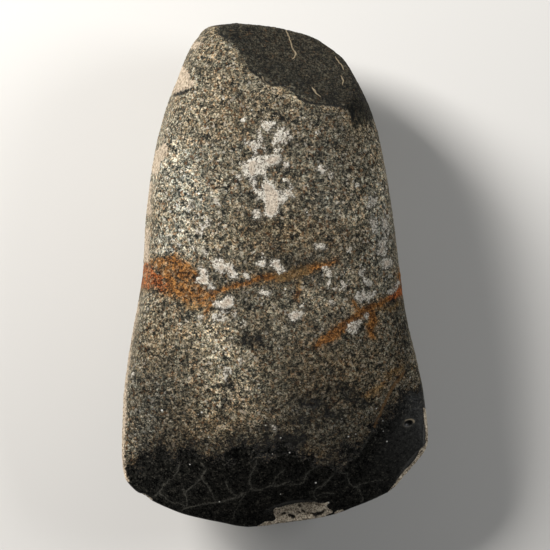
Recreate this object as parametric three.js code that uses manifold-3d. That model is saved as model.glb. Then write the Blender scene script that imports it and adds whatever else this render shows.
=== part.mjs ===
// Polished stone axe head: one piece of ground dolerite, lying on its belly.
//
// Millimetres, +Z up. The cutting edge faces -Y and the butt +Y, X runs across
// the width, and the origin is at the middle of the outline on the surface the
// axe lies on. The body is an almond in long section (two convex faces that
// meet at the cutting edge) and a lens in cross section, with a narrow ground
// side between the faces and a pecked, rounded butt. Flakes struck off the edge
// and the butt are scooped out of it, and a small ground flat under the belly
// is what it lies on.
import * as THREE from "three";
import { mergeVertices } from "three/addons/utils/BufferGeometryUtils.js";
import Module from "manifold-3d";

// ---- overall sizes -------------------------------------------------------
const LENGTH = 140; // cutting edge to butt
const HALF_THICK = 19.5; // centre plane to the crown of either face
const REST_CUT = 0.7; // depth of the flat ground under the belly
const SIDE_TILT_LEFT = 0.2; // how far the narrow side leans in, per mm of height
const SIDE_TILT_RIGHT = 0.07;
const SIDE_FOOT = 3.6; // how far below the centre plane that lean starts
const HAFT_FLAT_Y = [14, 40]; // stretch of narrow side ground flat for the haft
const HAFT_FLAT_CUT = 0.35; // depth of that flat at the middle of the stretch

// ---- profile sizes -------------------------------------------------------
const BEVEL_RUN = 74; // length over which the faces close on the edge
const BEVEL_POWER = 2.45; // wedge angle: slope at the edge is power/run
const BUTT_RUN = 62; // length over which the butt end thins
const BUTT_THIN = 0.3; // share of the thickness lost over that length
const BUTT_ROUND = 20; // length of the rounded end itself
const CROWN_POWER = 2.5; // fullness of the lens across the width
const CROWN_ROOT = 0.56;
const CROWN_SPREAD = 1.025; // lens width over the ground width
const EDGE_APEX = [-7.5, -70.1]; // lowest point of the cutting edge
const EDGE_SWEEP = [0.0098, 0.0064]; // sweep of the edge to the left, to the right
const CORNER_Y = -46; // station of the edge's two corners
const WAVE = 0.28; // slow unevenness left by hand grinding

// ---- table of offsets: station, left side, right side --------------------
const OFFSETS = [
  [70.0, -10.8, -10.8],
  [69.7, -14.1, -6.9],
  [69.25, -17.2, -2.8],
  [68.5, -19.4, 1.7],
  [66.25, -21.5, 10.0],
  [64.0, -23.3, 14.0],
  [59.6, -25.5, 19.4],
  [55.2, -27.2, 22.2],
  [46.3, -30.5, 26.5],
  [37.4, -33.0, 29.3],
  [26.3, -35.2, 31.7],
  [13.0, -36.4, 33.4],
  [1.9, -36.9, 34.8],
  [-7.0, -38.2, 35.9],
  [-13.7, -39.5, 37.1],
  [-24.8, -41.3, 39.8],
  [-33.7, -42.3, 41.5],
  [-40.3, -42.5, 42.2],
  [-45.3, -42.6, 42.6],
  [-48.1, -42.6, 41.9],
  [-51.4, -42.5, 39.8],
  [-55.9, -41.8, 35.9],
  [-59.7, -38.9, 32.4],
  [-62.5, -34.4, 27.2],
  [-64.7, -29.7, 21.4],
  [-66.4, -25.2, 17.5],
  [-67.8, -19.4, 9.7],
  [-68.9, -13.9, 1.4],
  [-69.7, -10.3, -3.6],
  [-70.0, -7.5, -7.5],
].reverse(); // rising stations

// ---- mesh sizes ----------------------------------------------------------
const RINGS = 22; // rings from the narrow side up to the crown
const CUTTER_DETAIL = [4, 8]; // coarsest and finest flake cutters

// A smooth curve through a rising table that never overshoots it (monotone
// cubic), read at t and held past both ends.
function tableCurve(at, value) {
  const n = at.length;
  const slope = [];
  for (let i = 0; i < n - 1; i++)
    slope.push((value[i + 1] - value[i]) / (at[i + 1] - at[i]));
  const tangent = value.map((_, i) => {
    if (i === 0) return slope[0];
    if (i === n - 1) return slope[n - 2];
    const a = slope[i - 1],
      b = slope[i];
    if (a * b <= 0) return 0;
    const h0 = at[i] - at[i - 1],
      h1 = at[i + 1] - at[i];
    const w0 = 2 * h1 + h0,
      w1 = h1 + 2 * h0;
    return (w0 + w1) / (w0 / a + w1 / b);
  });
  return (t) => {
    if (t <= at[0]) return value[0];
    if (t >= at[n - 1]) return value[n - 1];
    let i = 0;
    while (at[i + 1] < t) i++;
    const h = at[i + 1] - at[i],
      s = (t - at[i]) / h;
    return (
      (1 + 2 * s) * (1 - s) * (1 - s) * value[i] +
      s * (1 - s) * (1 - s) * h * tangent[i] +
      s * s * (3 - 2 * s) * value[i + 1] +
      s * s * (s - 1) * h * tangent[i + 1]
    );
  };
}

const stations = OFFSETS.map((r) => r[0]);
const leftSide = tableCurve(stations, OFFSETS.map((r) => r[1]));
const rightSide = tableCurve(stations, OFFSETS.map((r) => r[2]));

// The sweep of the cutting edge as ground, before flakes were struck off it.
function cuttingEdge(x) {
  const d = x - EDGE_APEX[0];
  return EDGE_APEX[1] + EDGE_SWEEP[d < 0 ? 0 : 1] * d * d;
}

// Half thickness of the body at a place on the outline.
function halfThickness(x, y) {
  const bevel = THREE.MathUtils.clamp((y - cuttingEdge(x)) / BEVEL_RUN, 0, 1);
  const wedge = 1 - Math.pow(1 - bevel, BEVEL_POWER);
  const fromButt = LENGTH / 2 + 0.4 - y;
  const taper = Math.max(0, 1 - fromButt / BUTT_RUN);
  const end = Math.max(0, Math.min(1, 1 - fromButt / BUTT_ROUND));
  const butt =
    (1 - BUTT_THIN * taper * taper) * Math.sqrt(1 - Math.pow(end, 2.4));
  const yy = Math.max(y, CORNER_Y);
  const l = leftSide(yy),
    r = rightSide(yy);
  const across = Math.min(
    1,
    Math.abs(2 * x - l - r) / Math.max(1e-6, (r - l) * CROWN_SPREAD),
  );
  const crown = Math.pow(1 - Math.pow(across, CROWN_POWER), CROWN_ROOT);
  const uneven =
    WAVE *
    (Math.sin(0.085 * x + 0.052 * y + 0.7) +
      Math.sin(0.11 * y - 0.046 * x + 2.1) * 0.7);
  return wedge * butt * crown * (HALF_THICK + uneven);
}

// Below zero inside the body. z is measured from the centre plane. The narrow
// sides lean from a little below that plane up, less so as the body thins.
function body(x, y, z) {
  const thick = halfThickness(x, y);
  const lean = Math.max(0, z + Math.min(SIDE_FOOT, thick));
  return Math.max(
    Math.abs(z) - thick,
    leftSide(y) - x + SIDE_TILT_LEFT * lean,
    x - rightSide(y) + SIDE_TILT_RIGHT * lean,
    Math.abs(y) - LENGTH / 2,
  );
}

// The body as a closed mesh: a square grid folded onto each half of a ball,
// whose points are pushed out along their own rays until they meet the surface.
function bodyGeometry() {
  const aim = new THREE.Vector3(0, -3, 0);
  const reach = new THREE.Vector3(43, 70, HALF_THICK);
  const side = 2 * RINGS + 1;
  const positions = [];
  const index = [];
  const keys = new Map();
  const surfacePoint = (sx, sy, sz) => {
    const d = new THREE.Vector3(sx, sy, sz).multiply(reach);
    let lo = 0,
      hi = 1.8;
    for (let k = 0; k < 48; k++) {
      const mid = (lo + hi) / 2;
      if (body(aim.x + d.x * mid, aim.y + d.y * mid, aim.z + d.z * mid) < 0)
        lo = mid;
      else hi = mid;
    }
    return d.multiplyScalar((lo + hi) / 2).add(aim);
  };
  const vertex = (i, j, up) => {
    const a = (i - RINGS) / RINGS,
      b = (j - RINGS) / RINGS;
    const ring = Math.max(Math.abs(a), Math.abs(b));
    const key = i * side + j + (up < 0 && ring < 1 ? side * side : 0);
    if (keys.has(key)) return keys.get(key);
    let turn = 0;
    if (ring > 0)
      turn =
        Math.abs(a) >= Math.abs(b)
          ? (Math.PI / 4) * (b / a) + (a < 0 ? Math.PI : 0)
          : Math.PI / 2 - (Math.PI / 4) * (a / b) + (b < 0 ? Math.PI : 0);
    // Rings crowd a little towards the narrow side, where the surface turns.
    const open = (Math.PI / 2) * (ring + 0.1 * Math.sin(Math.PI * ring));
    const p = surfacePoint(
      Math.cos(turn) * Math.sin(open),
      Math.sin(turn) * Math.sin(open),
      ring === 1 ? 0 : up * Math.cos(open),
    );
    positions.push(p.x, p.y, p.z);
    keys.set(key, positions.length / 3 - 1);
    return positions.length / 3 - 1;
  };
  for (const up of [1, -1])
    for (let i = 0; i < 2 * RINGS; i++)
      for (let j = 0; j < 2 * RINGS; j++) {
        const a = vertex(i, j, up),
          b = vertex(i + 1, j, up),
          c = vertex(i + 1, j + 1, up),
          d = vertex(i, j + 1, up);
        const rising = (i < RINGS) === (j < RINGS);
        const faces = rising
          ? [a, b, c, a, c, d]
          : [a, b, d, b, c, d];
        for (let k = 0; k < 6; k += 3)
          index.push(
            faces[k],
            faces[k + (up > 0 ? 1 : 2)],
            faces[k + (up > 0 ? 2 : 1)],
          );
      }
  const g = new THREE.BufferGeometry();
  g.setAttribute("position", new THREE.Float32BufferAttribute(positions, 3));
  g.setIndex(index);
  return g;
}

// ---- flakes and flats, cut with manifold-3d ------------------------------
const wasm = await Module();
wasm.setup();

function solid(geometry) {
  const bare = new THREE.BufferGeometry().setAttribute(
    "position",
    (geometry.index ? geometry.toNonIndexed() : geometry).getAttribute(
      "position",
    ),
  );
  const merged = mergeVertices(bare, 1e-4);
  return new wasm.Manifold(
    new wasm.Mesh({
      numProp: 3,
      vertProperties: merged.attributes.position.array,
      triVerts: new Uint32Array(merged.index.array),
    }),
  );
}

// Outward direction of the body's surface near a point.
function outward(x, y, z) {
  const e = 0.6;
  return new THREE.Vector3(
    body(x + e, y, z) - body(x - e, y, z),
    body(x, y + e, z) - body(x, y - e, z),
    body(x, y, z + e) - body(x, y, z - e),
  ).normalize();
}

// The bed of a flake: a shallow scoop of the given length, width and depth,
// whose long side is turned by `turn` degrees from +X. A scar on a face lies
// square to it; a flake off an edge is given the direction it faces.
function flake({ at, length, width, depth, turn = 0, face = 1, faces = null }) {
  const [x, y] = at;
  const z = at.length > 2 ? at[2] : face * halfThickness(x, y);
  const normal = faces
    ? new THREE.Vector3(...faces).normalize()
    : outward(x, y, z);
  const along = new THREE.Vector3(
    Math.cos(THREE.MathUtils.degToRad(turn)),
    Math.sin(THREE.MathUtils.degToRad(turn)),
    0,
  );
  along.addScaledVector(normal, -along.dot(normal)).normalize();
  const across = new THREE.Vector3().crossVectors(normal, along);
  const deep = 3.2 * depth; // a scoop a third of its cutter deep
  const spread = Math.sqrt(1 - Math.pow((deep - depth) / deep, 2));
  const detail = THREE.MathUtils.clamp(
    Math.round(length * 0.35),
    ...CUTTER_DETAIL,
  );
  const g = new THREE.IcosahedronGeometry(1, detail);
  g.scale(length / 2 / spread, width / 2 / spread, deep);
  g.applyMatrix4(new THREE.Matrix4().makeBasis(along, across, normal));
  g.translate(
    x + normal.x * (deep - depth),
    y + normal.y * (deep - depth),
    z + normal.z * (deep - depth),
  );
  return solid(g);
}

// prettier-ignore
const FLAKES = [
  // butt: the large scar on the upper face and the small ones on its left rim
  { at: [3.3, 56.9, 12.4], length: 87, width: 87, depth: 1.76, turn: -35, faces: [0.3, 0.59, 0.75] },
  { at: [-26.0, 52.8], length: 7.6, width: 3.6, depth: 0.7, turn: 66 },
  { at: [-22.6, 61.2], length: 3.0, width: 2.0, depth: 0.45, turn: 52 },
  // cutting edge, upper face: middle chip, right corner, left corner
  { at: [6.9, -66.1], length: 19.5, width: 8, depth: 0.8, turn: 10, faces: [0.03, -0.45, 0.89] },
  { at: [36.9, -54.4, 0.8], length: 21, width: 7, depth: 1.0, turn: 52, faces: [0.62, -0.47, 0.63] },
  { at: [-35.6, -61.6, 0.4], length: 5.2, width: 3.2, depth: 0.7, turn: -33, faces: [-0.45, -0.6, 0.66] },
  // right side near the corner, a long thin spall
  { at: [42.3, -41.5, 0.8], length: 12, width: 4.4, depth: 0.5, turn: 92, faces: [0.86, -0.12, 0.5] },
  // under face
  { at: [-9, 60.5], length: 27, width: 15, depth: 1.7, turn: 18, face: -1 },
  { at: [-19.5, -63.0], length: 13, width: 7.5, depth: 0.75, turn: -17, face: -1 },
];

// A block whose near face is ground flat against the body.
function flatCutter(point, normal, up) {
  const g = new THREE.BoxGeometry(60, 60, 20);
  g.translate(0, 0, 10);
  const n = normal.clone().normalize();
  const a = new THREE.Vector3().crossVectors(up, n).normalize();
  const b = new THREE.Vector3().crossVectors(n, a);
  g.applyMatrix4(new THREE.Matrix4().makeBasis(a, b, n));
  g.translate(point.x, point.y, point.z);
  return solid(g);
}

// The narrow side's ground flat: the chord of the side between two stations,
// leaning as the side leans.
function haftFlat(sideCurve, sign, tilt) {
  const [y0, y1] = HAFT_FLAT_Y;
  const ym = (y0 + y1) / 2;
  const chord = new THREE.Vector2(sideCurve(y1) - sideCurve(y0), y1 - y0);
  const normal = new THREE.Vector3(
    sign * chord.y,
    -sign * chord.x,
    tilt * chord.length(),
  ).normalize();
  const x = sideCurve(ym) - sign * tilt * SIDE_FOOT - sign * HAFT_FLAT_CUT;
  return flatCutter(
    new THREE.Vector3(x, ym, 0),
    normal,
    new THREE.Vector3(0, 0, 1),
  );
}

let stone = solid(bodyGeometry());
for (const f of FLAKES) stone = stone.subtract(flake(f));
stone = stone.subtract(haftFlat(leftSide, -1, SIDE_TILT_LEFT));
stone = stone.subtract(haftFlat(rightSide, 1, SIDE_TILT_RIGHT));

// The belly flat, and the lift that puts it on the ground.
const restPlane = -(HALF_THICK - REST_CUT);
const underfoot = new THREE.BoxGeometry(200, 200, 20);
underfoot.translate(0, 0, restPlane - 10);
stone = stone.subtract(solid(underfoot));

const cut = stone.getMesh();
const geometry = new THREE.BufferGeometry();
geometry.setAttribute(
  "position",
  new THREE.Float32BufferAttribute(Array.from(cut.vertProperties), cut.numProp),
);
geometry.setIndex(Array.from(cut.triVerts));
geometry.computeVertexNormals();

const stoneMaterial = new THREE.MeshStandardMaterial({
  color: new THREE.Color(0.2, 0.19, 0.165),
  roughness: 0.62,
  metalness: 0,
});

const axe = new THREE.Mesh(geometry, stoneMaterial);
axe.name = "axe_head";
axe.position.z = -restPlane;

const part = new THREE.Group();
part.name = "polished_stone_axe";
part.add(axe);

export default part;
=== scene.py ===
# Polished stone axe head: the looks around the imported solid.
#
# One fine mesh stands for the stone. Its body is the same ground form as the
# solid, with rounded arrises, pecking, pits, grinding marks, flake beds, crust
# and cracks as real relief. Fields that say how near a point lies to a flake, a
# rust streak, a crust patch, a root trace or the ground blade are kept on its
# vertices, and one procedural material reads them.
import math

import bpy
import numpy as np
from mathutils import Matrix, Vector


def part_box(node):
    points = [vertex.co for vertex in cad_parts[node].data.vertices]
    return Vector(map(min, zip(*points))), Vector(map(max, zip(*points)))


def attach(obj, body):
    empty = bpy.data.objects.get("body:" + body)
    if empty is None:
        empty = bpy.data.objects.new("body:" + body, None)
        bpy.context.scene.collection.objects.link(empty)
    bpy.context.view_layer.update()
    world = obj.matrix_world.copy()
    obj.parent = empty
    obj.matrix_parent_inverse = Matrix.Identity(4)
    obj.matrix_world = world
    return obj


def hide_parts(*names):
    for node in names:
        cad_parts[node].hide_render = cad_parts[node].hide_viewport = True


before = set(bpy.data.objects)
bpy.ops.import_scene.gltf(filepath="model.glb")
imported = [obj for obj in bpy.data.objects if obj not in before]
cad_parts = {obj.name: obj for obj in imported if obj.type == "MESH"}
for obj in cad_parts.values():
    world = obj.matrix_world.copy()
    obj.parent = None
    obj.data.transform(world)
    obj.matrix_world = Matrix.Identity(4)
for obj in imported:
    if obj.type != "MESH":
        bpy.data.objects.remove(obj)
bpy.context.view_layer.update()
LOW, HIGH = (np.array(v) * 1000 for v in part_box("axe_head"))

# ---- sizes of the ground form, millimetres -------------------------------
LENGTH, HALF_THICK, REST_CUT = 140.0, 19.5, 0.7
LIFT = HALF_THICK - REST_CUT
SIDE_TILT_LEFT, SIDE_TILT_RIGHT, SIDE_FOOT = 0.2, 0.07, 3.6
HAFT_FLAT_Y, HAFT_FLAT_CUT = (14.0, 40.0), 0.35
BEVEL_RUN, BEVEL_POWER = 74.0, 2.45
BUTT_RUN, BUTT_THIN, BUTT_ROUND = 62.0, 0.3, 20.0
CROWN_POWER, CROWN_ROOT, CROWN_SPREAD = 2.5, 0.56, 1.025
EDGE_APEX, EDGE_SWEEP, CORNER_Y, WAVE = (-7.5, -70.1), (0.0098, 0.0064), -46.0, 0.28
OFFSETS = np.array(
    [
        (70.0, -10.8, -10.8), (69.7, -14.1, -6.9), (69.25, -17.2, -2.8), (68.5, -19.4, 1.7),
        (66.25, -21.5, 10.0), (64.0, -23.3, 14.0), (59.6, -25.5, 19.4), (55.2, -27.2, 22.2),
        (46.3, -30.5, 26.5), (37.4, -33.0, 29.3), (26.3, -35.2, 31.7), (13.0, -36.4, 33.4),
        (1.9, -36.9, 34.8), (-7.0, -38.2, 35.9), (-13.7, -39.5, 37.1), (-24.8, -41.3, 39.8),
        (-33.7, -42.3, 41.5), (-40.3, -42.5, 42.2), (-45.3, -42.6, 42.6), (-48.1, -42.6, 41.9),
        (-51.4, -42.5, 39.8), (-55.9, -41.8, 35.9), (-59.7, -38.9, 32.4), (-62.5, -34.4, 27.2),
        (-64.7, -29.7, 21.4), (-66.4, -25.2, 17.5), (-67.8, -19.4, 9.7), (-68.9, -13.9, 1.4),
        (-69.7, -10.3, -3.6), (-70.0, -7.5, -7.5),
    ]
)[::-1]

# ---- mesh and view sizes -------------------------------------------------
RINGS = 138  # rings of the upper part; the lower part has half as many
RIM_DROP = 0.2  # how far below the middle the two parts meet, radians
EYE = 1150.0  # camera height above the centre plane, mm
SPAN = 152.6  # width that the camera sees at the centre plane, mm

# ---- features on the upper face, x and y in mm as seen from above --------
# rust streaks: x, y and half width along each, mm
RUST = [
    [(-25.0, -5.0, 1.25), (-20.3, -5.6, 1.25), (-17.6, -5.7, 0.83), (-16.4, -4.6, 0.44), (-14.4, -4.0, 0.36), (-12.7, -3.6, 0.39), (-10.2, -2.8, 0.5), (-7.7, -2.2, 0.56), (-5.2, -1.1, 0.5), (-3.4, -0.5, 0.53), (-2.2, -0.7, 0.67), (-0.6, -0.6, 0.44)],
    [(-17.6, -6.7, 0.28), (-18.8, -9.5, 0.25), (-19.8, -11.4, 0.19)],
    [(11.4, -20.0, 0.44), (12.8, -18.7, 0.83), (15.3, -17.1, 1.22), (18.0, -15.3, 1.39), (21.5, -12.6, 1.17), (23.9, -10.5, 0.83), (26.0, -8.9, 0.72), (29.1, -8.2, 0.53), (30.9, -7.1, 0.56), (32.7, -5.9, 0.89), (34.1, -4.8, 1.05), (34.7, -2.6, 0.83), (34.8, -0.3, 0.61), (35.0, 1.6, 0.39)],
    [(26.7, -10.1, 0.83), (27.4, -12.6, 0.83), (26.5, -14.6, 0.61), (27.1, -17.1, 0.44)],
    [(21.5, -6.7, 0.22), (22.6, -8.7, 0.28), (23.3, -9.8, 0.28)],
    [(10.0, 1.7, 0.5), (11.7, 2.2, 0.61), (13.6, 2.5, 0.44), (15.7, 3.6, 0.44), (17.3, 4.1, 0.28)],
    [(5.9, -6.5, 0.25), (6.2, -4.5, 0.25)],
]
# outline of the large rust patch at the left side
RUST_PATCH = [
    [(-38.6, 1.9), (-37.2, 1.9), (-34.7, 4.6), (-30.5, 4.4), (-27.2, 5.5), (-24.4, 4.1), (-22.2, 1.9), (-21.6, -0.9), (-20.8, -3.1), (-17.5, -4.2), (-17.2, -6.5), (-20.5, -7.4), (-25.5, -7.0), (-30.5, -5.2), (-33.3, -3.8), (-38.6, -4.0)],
]
# where that patch lets the stone through
RUST_GAPS = [
    [(-34.4, 3.5), (-32.7, 3.5), (-31.9, 1.3), (-32.5, -0.3), (-34.1, 0.2), (-35.0, 1.9)],
    [(-31.9, -0.3), (-29.7, -0.3), (-29.4, -2.3), (-31.4, -2.6)],
]
# broad faint yellow-brown rust
RUST_FAINT = [
    [(-5.3, -1.2, 0.69), (-2.2, -0.6, 0.97), (1.2, -0.4, 1.39), (4.3, 0.2, 1.53), (7.4, 1.0, 1.53), (10.0, 1.8, 1.25), (13.0, 2.6, 0.83)],
    [(6.5, -0.6, 0.72), (6.2, -4.2, 0.5)],
    [(28.8, -9.1, 0.67), (31.9, -9.4, 0.61), (34.0, -8.1, 0.67)],
    [(26.7, -10.1, 1.17), (27.4, -12.6, 1.17), (26.4, -14.6, 0.78), (27.1, -17.1, 0.61)],
    [(-25.0, -7.6, 0.83), (-21.9, -8.7, 0.83), (-19.4, -7.8, 0.56)],
    [(31.4, -28.4, 0.56), (33.6, -26.7, 0.83), (35.2, -25.3, 0.5)],
    [(25.8, -33.6, 0.83), (27.8, -32.3, 1.11), (30.2, -30.6, 0.69)],
]
# where the rust is redder
RUST_RED = [
    [(-37.5, 0.8, 3.05), (-34.7, -0.9, 3.05), (-31.9, -2.6, 1.94)],
    [(35.5, -4.8, 1.67), (33.6, -5.9, 1.8)],
]
# thin rust lines
RUST_THIN = [
    [(35.8, -26.7, 0.25), (34.7, -28.7, 0.28), (32.7, -31.1, 0.28), (31.4, -33.9, 0.25), (30.2, -35.9, 0.28), (29.4, -37.8, 0.25), (28.3, -40.3, 0.22), (27.6, -42.1, 0.17)],
]
# pale root traces on the ground blade
VEINS = [
    [(28.0, -42.0, 0.14), (25.5, -45.9, 0.17), (23.3, -49.2, 0.19), (21.4, -51.1, 0.22)],
    [(-27.1, -66.1, 0.17), (-25.0, -64.7, 0.28), (-23.6, -64.4, 0.28), (-20.8, -63.9, 0.28), (-18.0, -63.2, 0.28), (-15.3, -63.0, 0.28), (-12.5, -62.4, 0.36), (-9.7, -61.4, 0.39), (-6.7, -59.6, 0.42), (-4.5, -60.0, 0.28), (-1.1, -58.5, 0.33), (1.4, -58.3, 0.28), (3.8, -57.1, 0.22)],
    [(-6.7, -59.5, 0.31), (-7.0, -57.0, 0.33), (-6.8, -55.6, 0.33), (-6.2, -53.6, 0.28), (-5.4, -52.2, 0.28), (-5.1, -50.9, 0.22)],
    [(-11.7, -67.5, 0.22), (-10.7, -65.0, 0.28), (-9.4, -62.5, 0.33), (-7.8, -60.6, 0.31), (-6.5, -59.3, 0.28)],
    [(-0.4, -58.1, 0.22), (0.3, -56.4, 0.22), (1.1, -55.2, 0.25), (2.5, -54.3, 0.28)],
    [(4.4, -58.2, 0.17), (6.7, -58.0, 0.19), (8.0, -57.0, 0.17), (8.5, -55.3, 0.17), (10.4, -53.9, 0.25), (11.7, -52.9, 0.19), (13.2, -52.1, 0.17), (14.9, -52.2, 0.17), (16.1, -53.1, 0.17)],
    [(11.4, -62.2, 0.22), (10.4, -60.8, 0.25), (11.0, -59.8, 0.28), (13.5, -58.0, 0.31), (15.3, -56.3, 0.31), (16.9, -54.2, 0.31), (18.7, -52.8, 0.31), (20.8, -51.4, 0.28), (22.2, -50.6, 0.22)],
    [(13.0, -59.0, 0.17), (14.7, -57.2, 0.19), (16.1, -55.6, 0.17)],
    [(11.8, -61.3, 0.17), (13.2, -60.6, 0.19), (16.3, -60.6, 0.17)],
    [(17.7, -54.6, 0.17), (19.7, -55.2, 0.19), (20.5, -56.4, 0.19), (20.9, -58.3, 0.22), (22.5, -58.9, 0.25), (23.6, -60.0, 0.22), (24.3, -61.5, 0.22), (24.0, -62.9, 0.17)],
    [(22.5, -58.9, 0.19), (23.9, -58.2, 0.19), (25.3, -57.7, 0.19), (27.5, -57.1, 0.19), (29.8, -56.6, 0.17)],
    [(24.6, -63.6, 0.19), (25.8, -62.6, 0.31), (26.8, -62.2, 0.31), (28.6, -61.8, 0.22)],
    [(-33.6, -61.3, 0.17), (-32.6, -60.8, 0.22), (-31.6, -59.5, 0.22), (-30.9, -58.5, 0.22), (-29.4, -57.2, 0.25), (-28.3, -56.5, 0.25), (-27.5, -55.4, 0.28), (-26.9, -53.3, 0.31), (-26.2, -52.0, 0.28)],
    [(-20.5, -52.1, 0.25), (-19.3, -53.3, 0.22), (-20.1, -55.0, 0.25), (-20.5, -56.7, 0.22), (-19.1, -58.1, 0.19), (-18.3, -59.2, 0.22), (-17.6, -60.6, 0.22), (-16.9, -62.2, 0.19)],
    [(-32.5, -60.4, 0.14), (-31.4, -60.8, 0.17), (-30.5, -62.0, 0.17), (-28.9, -62.9, 0.17), (-26.4, -63.5, 0.17), (-24.7, -64.3, 0.17)],
    [(-24.7, -60.3, 0.14), (-23.0, -58.6, 0.17), (-21.6, -57.2, 0.17), (-20.5, -56.1, 0.17)],
    [(-25.4, -59.2, 0.14), (-24.7, -61.7, 0.17), (-24.4, -63.9, 0.17)],
    [(-13.6, -57.8, 0.14), (-12.8, -59.5, 0.17), (-11.1, -60.8, 0.17), (-9.7, -61.5, 0.17)],
]
# thin cracks on the butt, with a pale edge
CRACKS = [
    [(3.1, 68.1, 0.14), (3.5, 67.1, 0.17), (4.0, 66.1, 0.19), (4.1, 65.1, 0.17), (4.6, 64.0, 0.19), (4.8, 63.0, 0.17), (5.4, 62.1, 0.19), (5.8, 61.2, 0.19), (5.5, 60.6, 0.17), (5.0, 60.2, 0.17)],
    [(16.8, 60.4, 0.14), (17.6, 59.5, 0.17), (18.5, 58.3, 0.17), (18.9, 57.1, 0.14)],
    [(10.3, 52.0, 0.11), (11.2, 50.9, 0.14), (12.5, 49.5, 0.11)],
    [(-3.6, 54.9, 0.11), (-2.4, 53.4, 0.14), (-1.5, 52.7, 0.11)],
    [(18.3, 55.2, 0.11), (19.0, 54.1, 0.14), (18.7, 52.9, 0.11)],
]
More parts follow.
